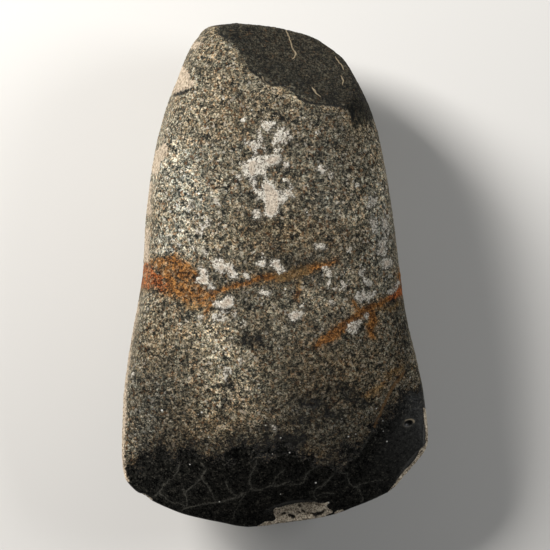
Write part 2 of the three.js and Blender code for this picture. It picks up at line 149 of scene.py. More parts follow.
# outlines of the raised pale crust
CRUST_OUTLINES = [
    [(-3.9, 42.0), (-1.9, 42.5), (0.2, 42.2), (0.4, 41.3), (-1.2, 41.1), (-1.4, 40.2), (-2.1, 39.7), (-2.3, 40.4), (-3.7, 41.1)],
    [(-4.9, 39.9), (-3.9, 39.9), (-3.7, 38.1), (-3.5, 36.5), (-3.7, 35.8), (-4.9, 35.5), (-5.3, 34.1), (-6.0, 34.1), (-6.2, 35.3), (-7.2, 35.8), (-9.0, 37.2), (-8.8, 37.5), (-6.9, 36.7), (-6.2, 36.9), (-4.6, 36.7), (-4.3, 37.4), (-4.5, 38.8)],
    [(-0.2, 39.3), (1.4, 39.4), (1.5, 37.4), (0.2, 36.7), (-0.2, 35.5), (-0.8, 36.5), (0.0, 37.9)],
    [(1.2, 41.0), (2.2, 40.9), (2.4, 40.2), (1.7, 39.9)],
    [(3.7, 38.6), (4.4, 38.2), (4.7, 37.5), (3.6, 37.6)],
    [(-3.0, 35.3), (-2.5, 35.3), (-2.6, 34.2), (-2.9, 34.3)],
    [(0.0, 34.8), (0.8, 35.2), (1.8, 34.6), (1.4, 33.9), (0.3, 34.0)],
    [(-3.7, 32.3), (-1.4, 33.2), (0.5, 33.5), (1.6, 33.2), (1.7, 31.8), (0.9, 30.9), (-0.2, 30.5), (-1.6, 30.0), (-2.3, 30.9), (-3.7, 31.1)],
    [(-7.9, 30.5), (-6.7, 32.1), (-5.3, 32.3), (-4.4, 31.4), (-4.6, 30.5), (-5.1, 29.3), (-4.9, 28.4), (-6.0, 27.2), (-6.7, 26.1), (-7.2, 27.2), (-7.6, 28.6), (-8.0, 29.5)],
    [(-9.3, 30.8), (-8.5, 31.2), (-7.9, 30.2), (-8.5, 29.5), (-9.2, 29.8)],
    [(-10.9, 27.3), (-10.0, 28.2), (-9.2, 27.3), (-9.6, 26.6), (-10.5, 26.7)],
    [(-6.0, 26.1), (-5.3, 26.2), (-5.4, 24.6), (-5.9, 24.4)],
    [(-3.0, 25.8), (-2.3, 26.3), (-0.5, 24.7), (0.9, 23.5), (1.2, 22.6), (1.2, 20.7), (1.2, 18.2), (0.5, 16.8), (-0.5, 15.8), (-1.9, 16.2), (-2.9, 17.3), (-2.7, 19.4), (-3.1, 21.2), (-3.2, 23.0), (-3.6, 24.4)],
    [(-5.9, 17.7), (-5.1, 18.3), (-3.9, 17.3), (-4.3, 15.8), (-5.8, 15.6)],
    [(-5.4, 23.5), (-4.4, 23.1), (-3.9, 21.4), (-4.6, 21.1), (-5.1, 22.1)],
    [(2.2, 23.5), (3.7, 23.6), (5.2, 22.7), (5.2, 21.6), (3.9, 21.6), (2.5, 22.1)],
    [(1.1, 23.9), (1.9, 23.7), (1.8, 22.9), (1.1, 23.0)],
    [(4.1, 25.0), (4.7, 24.6), (4.6, 24.1), (4.1, 24.4)],
    [(11.5, 29.5), (12.7, 30.5), (14.2, 30.0), (13.7, 28.3), (12.7, 28.5)],
    [(14.6, 27.7), (15.5, 28.2), (16.4, 27.5), (15.5, 26.7)],
    [(11.5, 39.9), (12.1, 39.9), (12.0, 39.3), (11.6, 39.4)],
    [(-21.3, 1.8), (-20.0, 2.1), (-18.8, 0.8), (-18.8, -0.7), (-18.2, -1.9), (-16.7, -3.5), (-17.6, -4.1), (-18.8, -3.1), (-20.3, -2.5), (-21.6, -2.2), (-21.7, -1.0), (-20.3, -0.4)],
    [(-16.7, 4.6), (-14.8, 4.4), (-14.2, 3.0), (-12.0, 2.7), (-11.4, 1.2), (-10.5, 0.2), (-10.5, -0.7), (-11.7, -1.0), (-12.7, 0.2), (-13.6, 1.5), (-14.8, 0.5), (-16.0, 1.5), (-16.7, 2.1), (-15.4, 3.0)],
    [(-5.2, 3.6), (-2.8, 4.3), (-2.2, 2.7), (-3.7, 2.4), (-5.2, 2.9)],
    [(-1.2, 3.9), (0.6, 4.3), (1.6, 2.4), (2.4, 1.7), (2.2, 1.0), (1.2, 0.5), (0.0, 1.5), (-0.9, 2.7)],
    [(-8.6, 0.8), (-8.0, 0.5), (-7.3, -1.1), (-8.0, -1.3), (-8.3, -0.1)],
    [(-17.0, -7.5), (-14.8, -7.2), (-13.6, -5.9), (-12.7, -5.6), (-11.4, -6.8), (-11.7, -8.4), (-13.3, -9.3), (-15.7, -9.0), (-16.7, -8.4)],
    [(-4.9, -4.5), (-1.2, -4.4), (-1.6, -5.6), (-3.4, -5.9), (-4.6, -5.3)],
    [(4.0, -10.6), (6.2, -9.9), (8.0, -10.6), (7.7, -11.8), (6.2, -12.1), (5.2, -13.0), (4.0, -12.1)],
    [(10.9, 8.3), (13.0, 8.9), (14.2, 7.6), (13.0, 7.3), (11.4, 7.2)],
    [(13.9, 0.8), (15.4, 1.2), (16.0, -0.1), (14.8, -0.7)],
    [(26.4, 15.9), (28.1, 15.2), (28.1, 11.7), (27.1, 12.1)],
    [(29.3, 15.9), (30.9, 15.2), (31.1, 13.1), (29.8, 13.1)],
    [(28.8, 9.6), (30.9, 9.6), (30.5, 7.6), (30.2, 5.1), (28.1, 6.2), (29.1, 7.6)],
    [(29.8, 4.4), (31.9, 4.8), (32.6, 3.0), (30.5, 1.7), (29.8, 2.3)],
    [(22.1, -6.3), (22.9, -5.6), (23.7, -6.0), (24.4, -5.3), (25.3, -5.2), (25.9, -5.9), (26.9, -4.9), (27.8, -4.6), (27.9, -5.5), (26.8, -6.3), (25.8, -7.2), (24.7, -6.8), (23.9, -7.5), (22.8, -6.8)],
    [(31.2, -4.9), (33.3, -3.5), (34.2, -1.5), (34.5, -2.2), (33.5, -4.3), (31.9, -5.4)],
    [(25.1, -10.8), (25.6, -10.7), (25.8, -11.9), (25.3, -12.1)],
    [(20.3, -14.1), (21.2, -13.4), (21.9, -13.8), (22.6, -12.7), (23.7, -12.6), (23.8, -13.5), (22.9, -14.2), (23.0, -15.1), (22.0, -15.2), (21.3, -16.1), (20.5, -15.8), (20.8, -14.9)],
    [(-21.0, -11.3), (-20.3, -11.3), (-20.3, -12.3), (-20.9, -12.2)],
    [(-1.3, -41.5), (-0.3, -41.9), (0.4, -42.9), (-0.4, -42.8), (-0.9, -42.2)],
]
# scattered broken crust: x, y, half sizes, strength, turn
CRUST = [
    (3.5, 30.6, 1.0, 0.6, 0.75, 0),
    (2.4, 28.9, 0.6, 0.8, 0.75, 0),
    (2.9, 26.3, 1.0, 0.6, 0.7, 20),
    (-1.7, 28.5, 1.1, 1.1, 0.45, 0),
    (-0.8, 26.3, 1.4, 1.1, 0.45, 0),
    (-19.7, 5.8, 1.2, 1.2, 0.6, 0),
    (-22.2, 7.4, 1.4, 1.2, 0.45, 0),
    (-14.7, -11.4, 4.2, 1.2, 0.62, 8),
    (6.9, -8.4, 1.0, 0.8, 0.6, 0),
    (24.3, 0.6, 1.2, 1.7, 0.78, 0),
    (26.0, -2.5, 1.7, 1.2, 0.8, 0),
    (25.3, -5.1, 2.8, 1.7, 0.6, 0),
    (20.8, 6.7, 1.0, 1.1, 0.72, 0),
    (19.4, 2.4, 1.0, 1.1, 0.7, 0),
    (23.3, 25.2, 1.2, 0.8, 0.5, 0),
    (24.1, 27.5, 0.6, 0.8, 0.45, 0),
    (28.4, 18.2, 0.5, 1.1, 0.5, 0),
    (21.6, -14.2, 1.9, 1.7, 0.62, 0),
    (17.2, -4.2, 1.7, 1.1, 0.45, 0),
    (16.9, -7.6, 1.4, 1.4, 0.45, 0),
    (15.0, -2.8, 1.1, 1.4, 0.4, 0),
    (-16.4, 19.9, 1.0, 1.5, 0.62, 0),
    (-19.1, 14.1, 1.2, 1.8, 0.55, 0),
    (-18.3, 24.1, 0.8, 1.1, 0.45, 0),
    (-28.6, 9.6, 1.1, 1.1, 0.45, 0),
    (-23.6, 19.4, 1.7, 1.9, 0.35, 0),
    (-20.8, 11.9, 1.7, 1.9, 0.5, 0),
    (26.9, 20.7, 1.7, 2.2, 0.4, 0),
    (30.5, 11.0, 1.4, 6.7, 0.42, -8),
    (19.4, -2.3, 1.4, 1.4, 0.5, 0),
    (-9.7, -23.9, 1.4, 2.2, 0.42, 0),
    (-13.9, -27.0, 1.7, 2.5, 0.3, 0),
    (-11.9, -18.1, 1.4, 1.1, 0.4, 0),
    (-15.8, 3.5, 1.7, 1.7, 0.5, 0),
    (-4.7, 6.3, 2.5, 1.1, 0.25, 0),
    (-8.9, 42.9, 1.4, 1.4, 0.2, 0),
    (-39.8, -27.5, 0.7, 0.7, 0.9, 0),
    (-9.7, -13.1, 2.8, 1.1, 0.4, 0),
    (13.9, 1.9, 1.4, 0.8, 0.4, 0),
    (18.3, -12.0, 1.7, 1.1, 0.35, -30),
    (1.7, 38.5, 2.2, 2.8, 0.4, 0),
    (-5.3, 29.6, 4.4, 3.9, 0.42, 0),
    (-0.8, 21.3, 3.9, 3.3, 0.42, 0),
]
# lighter and darker passages: x, y, half sizes, strength, turn. Most are the stone's own tone; the lighter strip down
# the right flank is partly painted light, the darker lower left flank partly painted shade
TONE = [
    (6.1, 10.5, 18.9, 6.9, -0.36, 0),
    (11.7, -25.0, 8.9, 9.7, -0.12, 0),
    (-11.7, -23.7, 7.8, 11.1, 0.3, 0),
    (27.8, -20.9, 6.9, 5.6, -0.1, 0),
    (-26.4, -36.1, 5.6, 9.7, -0.22, 0),
    (15.3, 34.6, 8.3, 13.9, -0.12, 0),
    (25.8, 14.9, 6.4, 11.4, 0.22, 0),
    (14.4, 46.3, 10.3, 6.1, -0.05, 0),
    (-2.5, -12.0, 9.4, 7.5, -0.02, 0),
    (6.9, -30.6, 8.3, 9.7, -0.05, 0),
    (-36.1, -36.7, 4.2, 8.9, -0.15, 0),
    (-17.2, 61.0, 5.0, 5.6, 0.1, 0),
    (24.4, -2.8, 6.1, 4.2, 0.15, 0),
    (-16.4, -37.0, 5.6, 6.4, 0.18, 0),
    (-8.0, -9.8, 2.8, 5.6, -0.25, 0),
    (-25.8, 31.8, 11.1, 18.3, 0.74, 0),
    (-20.8, 11.9, 9.4, 7.2, 0.58, 0),
    (-32.5, -38.1, 6.7, 11.1, -0.5, 0),
    (-1.4, -22.5, 4.4, 4.4, -0.15, 0),
    (1.9, 3.0, 9.4, 5.0, -0.5, 0),
    (-32.5, -1.5, 5.6, 4.4, -0.3, 0),
    (22.2, -36.1, 12.8, 9.4, -0.12, 0),
    (35.8, -13.9, 2.2, 8.3, -0.5, 0),
    (0.8, 21.9, 3.9, 11.1, 0.1, 0),
    (-11.9, -30.6, 7.2, 13.9, 0.72, 15),
    (-34.1, 6.9, 5.0, 11.1, 0.25, 0),
    (25.3, 30.5, 5.0, 14.4, 0.3, 0),
    (19.4, 19.4, 5.6, 5.6, 0.15, 0),
    (-19.1, -15.3, 8.3, 5.6, 0.45, 0),
    (-24.1, -46.4, 9.4, 2.5, -0.5, 0),
    (-2.5, -2.8, 8.3, 4.4, -0.25, 0),
    (-25.8, -1.5, 3.9, 3.9, -0.25, 0),
    (32.5, -8.7, 3.9, 5.6, -0.35, 0),
    (14.7, -47.5, 8.9, 2.2, -0.3, 0),
    (9.7, -34.2, 19.4, 10.0, -0.25, 0),
    (13.0, -36.7, 13.9, 6.1, -0.35, 0),
    (6.9, -43.6, 11.1, 3.3, -0.3, 0),
    (9.7, -22.3, 16.7, 6.7, -0.22, 0),
    (6.9, 3.5, 8.3, 3.9, -0.3, 0),
    (35.2, -19.5, 2.5, 11.1, -0.35, 0),
    (-6.9, -16.7, 6.7, 3.9, -0.25, 0),
    (26.4, -47.5, 10.0, 5.6, -0.2, 0),
    (28.6, 14.6, 2.5, 16.7, 0.75, 0),
    (25.8, -4.2, 4.4, 5.0, 0.3, 0),
    (12.5, 47.4, 9.4, 2.8, -0.4, 0),
    (19.4, 13.0, 3.9, 3.9, 0.25, 0),
    (-25.8, -13.1, 7.2, 7.2, 0.0, 0),
    (-13.9, 59.0, 5.0, 5.6, 0.12, 0),
    (15.3, -7.0, 8.3, 5.6, 0.15, 0),
    (-37.5, -20.9, 2.8, 8.3, -0.25, 0),
]
# cooler, smoother grey passages; the one down the right flank is partly a painted highlight
BLUISH = [
    (29.7, 11.0, 4.4, 15.3, 1.0, 0),
    (-35.5, -40.3, 5.3, 11.7, 0.8, 0),
    (36.1, -38.1, 5.3, 7.5, 0.8, 0),
    (-23.3, 16.6, 6.7, 12.5, 0.8, 0),
    (-30.8, 8.3, 5.0, 3.9, 0.9, 0),
    (-26.9, 31.8, 10.0, 13.9, 0.8, 0),
    (15.3, 19.4, 5.6, 6.1, 0.5, 0),
    (15.3, 34.6, 7.2, 7.2, 0.35, 0),
]
# browner passages
BROWNISH = [
    (2.8, 10.8, 16.7, 5.6, 0.9, 0),
    (15.3, -27.0, 16.7, 9.4, 0.9, 0),
    (-16.7, -41.7, 13.9, 7.2, 0.7, 0),
    (-31.9, -18.1, 7.2, 6.1, 0.45, 0),
    (-13.9, 45.7, 8.3, 7.2, 0.35, 0),
    (10.3, -49.2, 4.4, 2.2, 0.9, 0),
    (4.2, -52.8, 3.1, 1.4, 1.0, -30),
    (-34.7, -53.6, 6.1, 2.2, 0.8, 0),
    (-18.6, -51.7, 3.3, 1.4, 1.0, 0),
    (22.5, 38.8, 2.8, 6.7, 0.5, 0),
    (19.4, 49.0, 2.5, 2.2, 0.7, 0),
    (-23.6, 42.4, 5.0, 5.0, 0.3, 0),
]
# upper limit of the dark polished blade, x and y
BLADE_LINE = [(-46.3, -52.5), (-42.5, -53.1), (-39.1, -53.3), (-35.8, -49.7), (-31.9, -48.6), (-29.7, -49.5), (-27.5, -50.6), (-25.0, -48.6), (-21.9, -48.6), (-19.1, -50.6), (-16.4, -50.6), (-13.0, -49.2), (-9.4, -47.8), (-5.6, -49.5), (-1.9, -48.6), (1.4, -47.2), (4.7, -48.1), (8.0, -50.6), (11.9, -52.5), (16.4, -52.5), (20.8, -50.6), (24.1, -47.8), (27.5, -42.8), (30.8, -38.4), (34.1, -35.3), (38.0, -32.5), (45.8, -30.3)]
# darker worn patches above that limit
DARK_PATCHES = [
    (4.7, -45.9, 4.2, 2.5, 1, 0),
    (-2.8, -48.1, 3.3, 1.9, 1, 0),
    (-1.4, -42.5, 1.9, 1.4, 0.8, 0),
    (20.3, -32.8, 2.8, 1.7, 0.8, 0),
    (23.9, -34.8, 2.2, 1.4, 0.8, 0),
    (10.0, -35.6, 3.3, 1.7, 0.8, 0),
    (15.5, -38.6, 2.5, 1.4, 0.8, 0),
    (-6.9, -17.6, 2.5, 1.0, 1, 8),
    (-3.6, -19.5, 1.1, 1.1, 0.6, 0),
    (-13.0, -29.2, 1.1, 3.6, 0.7, 20),
    (-14.4, -36.1, 1.4, 3.1, 0.6, -10),
    (6.9, -40.3, 2.8, 1.7, 0.7, 0),
    (-9.7, -45.9, 2.5, 1.7, 0.8, 0),
]

# outlines of the fresh chips on the cutting edge; their outer sides run past the edge
CHIP_OUTLINES = [
    [(-0.5, -65.3), (0.1, -64.6), (1.4, -64.5), (2.6, -64.0), (4.6, -63.6), (6.0, -63.3), (8.8, -63.0), (10.9, -62.9), (12.5, -63.3), (13.9, -63.2), (14.7, -62.9), (15.2, -63.2), (14.3, -63.9), (14.8, -64.8), (16.0, -65.4), (15.8, -66.0), (14.3, -66.6), (13.6, -69.4), (6.9, -70.8), (0.0, -71.4), (-5.3, -72.2), (-5.4, -70.0), (-3.9, -69.2), (-2.6, -68.4), (-0.5, -68.3), (0.2, -67.6), (-0.5, -66.0)],
    [(16.4, -66.0), (17.3, -65.3), (18.7, -65.1), (19.6, -65.5), (18.9, -67.5), (16.8, -68.1)],
    [(41.1, -36.8), (41.6, -36.8), (44.1, -40.3), (45.2, -45.9), (44.1, -49.2), (40.2, -55.6), (34.7, -60.6), (30.8, -62.0), (31.2, -60.3), (33.3, -57.8), (34.4, -56.0), (36.1, -53.9), (37.2, -53.1), (38.6, -51.4), (39.7, -49.7), (40.1, -48.4), (41.3, -47.5), (41.9, -46.3), (41.7, -45.6), (41.8, -43.9), (41.6, -42.5), (41.3, -40.3), (41.1, -38.1)],
    [(-37.2, -60.5), (-36.2, -60.6), (-35.1, -61.4), (-33.9, -62.2), (-34.4, -63.3), (-36.4, -62.5), (-38.0, -61.1)],
]
# pale fresh rim scars, and pale strips down the left side that are partly worn stone and partly painted light where
# that side catches the light
PALE_OUTLINES = [
    [(-25.4, 57.5), (-24.1, 56.4), (-24.0, 54.2), (-22.4, 53.7), (-22.6, 52.4), (-25.8, 51.1), (-28.6, 50.2), (-29.7, 51.3), (-28.6, 55.2), (-26.9, 58.5)],
    [(-22.7, 64.6), (-20.6, 64.9), (-20.3, 64.3), (-21.7, 62.8), (-23.3, 62.8)],
    [(-30.5, 36.6), (-29.8, 35.5), (-30.1, 32.7), (-31.6, 31.6), (-32.7, 28.2), (-35.0, 28.0), (-34.4, 31.8), (-32.5, 35.2)],
    [(-34.4, 26.3), (-34.1, 25.2), (-34.6, 20.7), (-34.4, 16.9), (-36.6, 16.9), (-36.9, 20.7), (-35.8, 25.2)],
    [(-35.8, 13.5), (-35.0, 12.1), (-35.0, 6.9), (-35.2, 3.5), (-37.5, 3.5), (-37.5, 9.6)],
    [(-37.9, -7.0), (-37.6, -7.6), (-39.6, -18.1), (-40.7, -26.4), (-41.4, -33.6), (-41.4, -40.3), (-41.8, -45.9), (-41.6, -54.7), (-40.7, -57.2), (-42.5, -57.5), (-43.8, -51.4), (-43.8, -34.8), (-41.6, -18.1)],
]
# lower left border of the large scar on the butt
BUTT_LINE = [(-19.1, 72.9), (-16.7, 68.8), (-15.0, 66.8), (-13.1, 65.3), (-11.5, 63.4), (-9.5, 61.0), (-8.3, 58.6), (-5.9, 56.6), (-3.2, 54.6), (-1.2, 53.0), (1.1, 53.0), (4.4, 52.3), (5.9, 49.9), (7.5, 48.7), (10.7, 47.5), (15.1, 47.4), (19.0, 47.1), (21.0, 45.9), (21.6, 42.7), (22.8, 41.8), (25.3, 42.4), (30.2, 44.1)]
# grooves and small steps, cut into the relief and darkened with painted shadow: x, y and half width along each
GROOVES = [
    [(-6.7, 57.0, 0.14), (-5.3, 55.7, 0.25), (-3.6, 54.5, 0.19), (-1.9, 53.2, 0.25), (-0.3, 52.7, 0.22), (1.7, 52.8, 0.17), (3.6, 52.2, 0.17), (5.3, 51.0, 0.17), (6.7, 49.2, 0.22), (8.9, 48.0, 0.25), (11.4, 47.5, 0.19), (15.3, 47.2, 0.14), (18.9, 46.9, 0.17)],
    [(21.2, 46.8, 0.22), (21.7, 45.2, 0.44), (21.6, 42.7, 0.33)],
    [(-27.9, 50.0, 0.22), (-26.9, 50.3, 0.39), (-25.3, 50.9, 0.28), (-22.5, 52.0, 0.17)],
    [(-1.2, 45.3, 0.14), (0.6, 44.7, 0.25), (2.5, 43.2, 0.19)],
    [(-15.4, 66.9, 0.25), (-13.7, 66.0, 0.33)],
    [(18.3, 46.8, 0.17), (20.5, 46.3, 0.22), (21.1, 45.2, 0.19)],
    [(2.1, -66.3, 0.11), (2.8, -66.0, 0.14)],
    [(4.0, -66.6, 0.25), (5.1, -67.1, 0.36)],
    [(10.0, -66.2, 0.14), (11.4, -66.6, 0.39), (12.5, -66.2, 0.33), (13.6, -65.5, 0.11)],
    [(7.6, -65.4, 0.11), (8.2, -65.7, 0.11)],
    [(6.7, -65.8, 0.08), (6.9, -65.9, 0.11)],
]
# small white crystals: x, y and size
SPOTS = [(-14.7, 49.0, 0.22), (-20.5, -38.2, 0.31), (-21.2, -38.6, 0.19), (-31.4, -37.4, 0.36), (-18.6, -45.0, 0.22), (-15.3, -63.0, 0.22), (1.6, -45.3, 0.22), (4.2, -49.2, 0.22), (-0.6, -49.5, 0.17), (11.4, -57.5, 0.28), (20.3, -44.9, 0.28), (31.1, -46.0, 0.22), (1.4, -60.8, 0.17), (8.3, 43.3, 0.22), (11.8, 39.7, 0.25), (9.2, 17.4, 0.22), (-28.0, 9.4, 0.25), (2.8, -3.8, 0.28), (25.3, -11.4, 0.33), (14.7, -63.0, 0.28), (-21.6, 54.6, 0.22), (-11.9, 28.5, 0.17), (-4.4, -31.4, 0.17)]
# ---- light: name, direction, distance m, size m, watts, colour -----------
WORLD = 0.035
SOFTBOXES = [
    ("key", (-0.73, 0.54, 0.42), 0.8, (0.30, 0.30), 18.0, (1.0, 0.985, 0.96)),
    ("side", (0.85, 0.22, 0.36), 0.9, (0.40, 0.40), 6.2, (0.97, 0.99, 1.0)),
]


# ==== numbers =============================================================
def table_curve(at, value):
    """A smooth curve through a rising table that never overshoots it, held past its ends."""
    at, value = np.asarray(at, float), np.asarray(value, float)
    h = np.diff(at)
    s = np.diff(value) / h
    t = np.empty(len(at))
    t[0], t[-1] = s[0], s[-1]
    a, b = s[:-1], s[1:]
    w0, w1 = 2 * h[1:] + h[:-1], h[1:] + 2 * h[:-1]
    with np.errstate(divide="ignore", invalid="ignore"):
        m = (w0 + w1) / (w0 / a + w1 / b)
    t[1:-1] = np.where(a * b <= 0, 0, m)

    def read(q):
        i = np.clip(np.searchsorted(at, q, side="right") - 1, 0, len(h) - 1)
        u = np.clip((q - at[i]) / h[i], 0, 1)
        return (
            (1 + 2 * u) * (1 - u) ** 2 * value[i]
            + u * (1 - u) ** 2 * h[i] * t[i]
            + u * u * (3 - 2 * u) * value[i + 1]
            + u * u * (u - 1) * h[i] * t[i + 1]
        )

    return read


left_side = table_curve(OFFSETS[:, 0], OFFSETS[:, 1])
right_side = table_curve(OFFSETS[:, 0], OFFSETS[:, 2])


def smooth(x, lo, hi):
    t = np.clip((x - lo) / (hi - lo), 0, 1)
    return t * t * (3 - 2 * t)


def soft_max(a, b, k):
    h = np.clip(1 - np.abs(a - b) / k, 0, 1)
    return np.maximum(a, b) + h * h * k / 4


def scramble(i, j, k, seed):
    """A repeatable whole number for each lattice place."""
    with np.errstate(over="ignore"):
        h = (
            (i & 0xFFFFFFFF).astype(np.uint32) * np.uint32(0x9E3779B1)
            ^ (j & 0xFFFFFFFF).astype(np.uint32) * np.uint32(0x85EBCA77)
            ^ (k & 0xFFFFFFFF).astype(np.uint32) * np.uint32(0xC2B2AE3D)
            ^ np.uint32((seed * 0x27D4EB2F) & 0xFFFFFFFF)
        )
        h ^= h >> np.uint32(15)
        h *= np.uint32(0x2C1B3C6D)
        h ^= h >> np.uint32(12)
        h *= np.uint32(0x297A2D39)
        h ^= h >> np.uint32(15)
    return h


def noise(p, size, seed=0, octaves=1, rough=0.5):
    """Gradient noise of about -1 to 1, with bumps about `size` mm across."""
    total, gain, norm = np.zeros(len(p)), 1.0, 0.0
    for o in range(octaves):
        q = p / (size / 2.0**o) + 17.31 * (o + 1)
        base = np.floor(q).astype(np.int64)
        f = q - base
        w = f * f * f * (f * (f * 6 - 15) + 10)
        acc = np.zeros(len(p))
        for c in range(8):
            d = ((c >> 2) & 1, (c >> 1) & 1, c & 1)
            h = scramble(base[:, 0] + d[0], base[:, 1] + d[1], base[:, 2] + d[2], seed + 31 * o)
            gx = (h & np.uint32(1023)).astype(float) / 511.5 - 1
            gy = ((h >> np.uint32(10)) & np.uint32(1023)).astype(float) / 511.5 - 1
            gz = ((h >> np.uint32(20)) & np.uint32(1023)).astype(float) / 511.5 - 1
            dot = gx * (f[:, 0] - d[0]) + gy * (f[:, 1] - d[1]) + gz * (f[:, 2] - d[2])
            wt = np.ones(len(p))
            for ax in range(3):
                wt = wt * (w[:, ax] if d[ax] else 1 - w[:, ax])
            acc += wt * dot
        total += gain * acc * 1.5
        norm += gain
        gain *= rough
    return total / norm


def pits(p, size, seed, share, reach=(0.25, 0.5)):
    """Round hollows scattered over cells of `size` mm: 1 at the middle of one, 0 outside."""
    q = p / size
    base = np.floor(q).astype(np.int64)
    out = np.zeros(len(p))
    for a in (-1, 0, 1):
        for b in (-1, 0, 1):
            for c in (-1, 0, 1):
                i, j, k = base[:, 0] + a, base[:, 1] + b, base[:, 2] + c
                h = scramble(i, j, k, seed)
                fx = (h & np.uint32(1023)).astype(float) / 1023
                fy = ((h >> np.uint32(10)) & np.uint32(1023)).astype(float) / 1023
                fz = ((h >> np.uint32(20)) & np.uint32(1023)).astype(float) / 1023
                g = scramble(i, j, k, seed + 977)
                have = (g & np.uint32(1023)).astype(float) / 1023 < share
                r = reach[0] + (reach[1] - reach[0]) * ((g >> np.uint32(10)) & np.uint32(1023)).astype(float) / 1023
                d2 = (q[:, 0] - i - fx) ** 2 + (q[:, 1] - j - fy) ** 2 + (q[:, 2] - k - fz) ** 2
                out = np.maximum(out, np.where(have, np.clip(1 - d2 / (r * r), 0, 1), 0))
    return out


# ==== the ground form =====================================================
def cutting_edge(x):
    d = x - EDGE_APEX[0]
    return EDGE_APEX[1] + np.where(d < 0, EDGE_SWEEP[0], EDGE_SWEEP[1]) * d * d


def half_thickness(x, y):
    bevel = np.clip((y - cutting_edge(x)) / BEVEL_RUN, 0, 1)
    wedge = 1 - (1 - bevel) ** BEVEL_POWER
    from_butt = LENGTH / 2 + 0.4 - y
    taper = np.maximum(0, 1 - from_butt / BUTT_RUN)
    end = np.clip(1 - from_butt / BUTT_ROUND, 0, 1)
    butt = (1 - BUTT_THIN * taper * taper) * np.sqrt(np.maximum(0, 1 - end**2.4))
    yy = np.maximum(y, CORNER_Y)
    l, r = left_side(yy), right_side(yy)
    across = np.minimum(1, np.abs(2 * x - l - r) / np.maximum(1e-6, (r - l) * CROWN_SPREAD))
    crown = (1 - across**CROWN_POWER) ** CROWN_ROOT
    uneven = WAVE * (
        np.sin(0.085 * x + 0.052 * y + 0.7) + 0.7 * np.sin(0.11 * y - 0.046 * x + 2.1)
    )
    return wedge * butt * crown * (HALF_THICK + uneven)


def unit(v):
    v = np.asarray(v, float)
    return v / np.linalg.norm(v)


def plain_body(x, y, z):
    """The body with sharp arrises, as the solid has it; z from the centre plane."""
    thick = half_thickness(x, y)
    lean = np.maximum(0, z + np.minimum(SIDE_FOOT, thick))
    return np.maximum.reduce(
        [
            np.abs(z) - thick,
            left_side(y) - x + SIDE_TILT_LEFT * lean,
            x - right_side(y) + SIDE_TILT_RIGHT * lean,
        ]
    )


def flake(at, length, width, depth, turn, face=1, faces=None, blend=0.15, kind="chip"):
    x, y = at[0], at[1]
    z = at[2] if len(at) > 2 else face * float(half_thickness(np.array(x), np.array(y)))
    if faces is None:
        e = 0.6
        one = lambda *p: float(plain_body(*[np.array([v]) for v in p])[0])
        normal = unit(
            [
                one(x + e, y, z) - one(x - e, y, z),
                one(x, y + e, z) - one(x, y - e, z),
                one(x, y, z + e) - one(x, y, z - e),
            ]
        )
    else:
        normal = unit(faces)
    along = np.array([math.cos(math.radians(turn)), math.sin(math.radians(turn)), 0.0])
    along = unit(along - along.dot(normal) * normal)
    across = np.cross(normal, along)
    deep = 3.2 * depth
    spread = math.sqrt(1 - ((deep - depth) / deep) ** 2)
    return {
        "centre": np.array([x, y, z]) + normal * (deep - depth),
        "axes": np.array([along, across, normal]),
        "radii": np.array([length / 2 / spread, width / 2 / spread, deep]),
        "blend": blend,
        "kind": kind,
        "normal": normal,
    }


FLAKES = [
    # butt: the large scar on the upper face and the small ones on its left rim
    flake((3.3, 56.9, 12.4), 87, 87, 1.76, -35, faces=(0.3, 0.59, 0.75), blend=0.5, kind="scar"),
    flake((-26.0, 52.8), 7.6, 3.6, 0.7, 66, kind="rim"),
    flake((-22.6, 61.2), 3.0, 2.0, 0.45, 52, kind="rim"),
    # cutting edge, upper face: middle chip, right corner, left corner, right spall
    flake((6.9, -66.1), 19.5, 8, 0.8, 10, faces=(0.03, -0.45, 0.89)),
    flake((36.9, -54.4, 0.8), 21, 7, 1.0, 52, faces=(0.62, -0.47, 0.63)),
    flake((-35.6, -61.6, 0.4), 5.2, 3.0, 0.5, -33, faces=(-0.45, -0.6, 0.66)),
    flake((42.3, -41.5, 0.8), 12, 4.4, 0.5, 92, faces=(0.86, -0.12, 0.5)),
    # under face
    flake((-9, 60.5), 27, 15, 1.7, 18, face=-1, blend=0.5, kind="scar"),
    flake((-19.5, -63.0), 13, 7.5, 0.75, -17, face=-1),
]


def in_flake(f, p):
    """About the distance outside the flake's scoop, in mm."""
    q = ((p - f["centre"]) @ f["axes"].T) / f["radii"]
    r = np.linalg.norm(q, axis=1)
    g = np.linalg.norm(q / f["radii"], axis=1)
    return (r - 1) * r / np.maximum(g, 1e-9)


def haft_plane(curve, sign, tilt):
    y0, y1 = HAFT_FLAT_Y
    ym = (y0 + y1) / 2
    chord = np.array([float(curve(y1) - curve(y0)), y1 - y0])
    normal = unit([sign * chord[1], -sign * chord[0], tilt * np.linalg.norm(chord)])
    x = float(curve(ym)) - sign * tilt * SIDE_FOOT - sign * HAFT_FLAT_CUT
    return np.array([x, ym, 0.0]), normal


HAFT_FLATS = [
    haft_plane(left_side, -1, SIDE_TILT_LEFT),
    haft_plane(right_side, 1, SIDE_TILT_RIGHT),
]


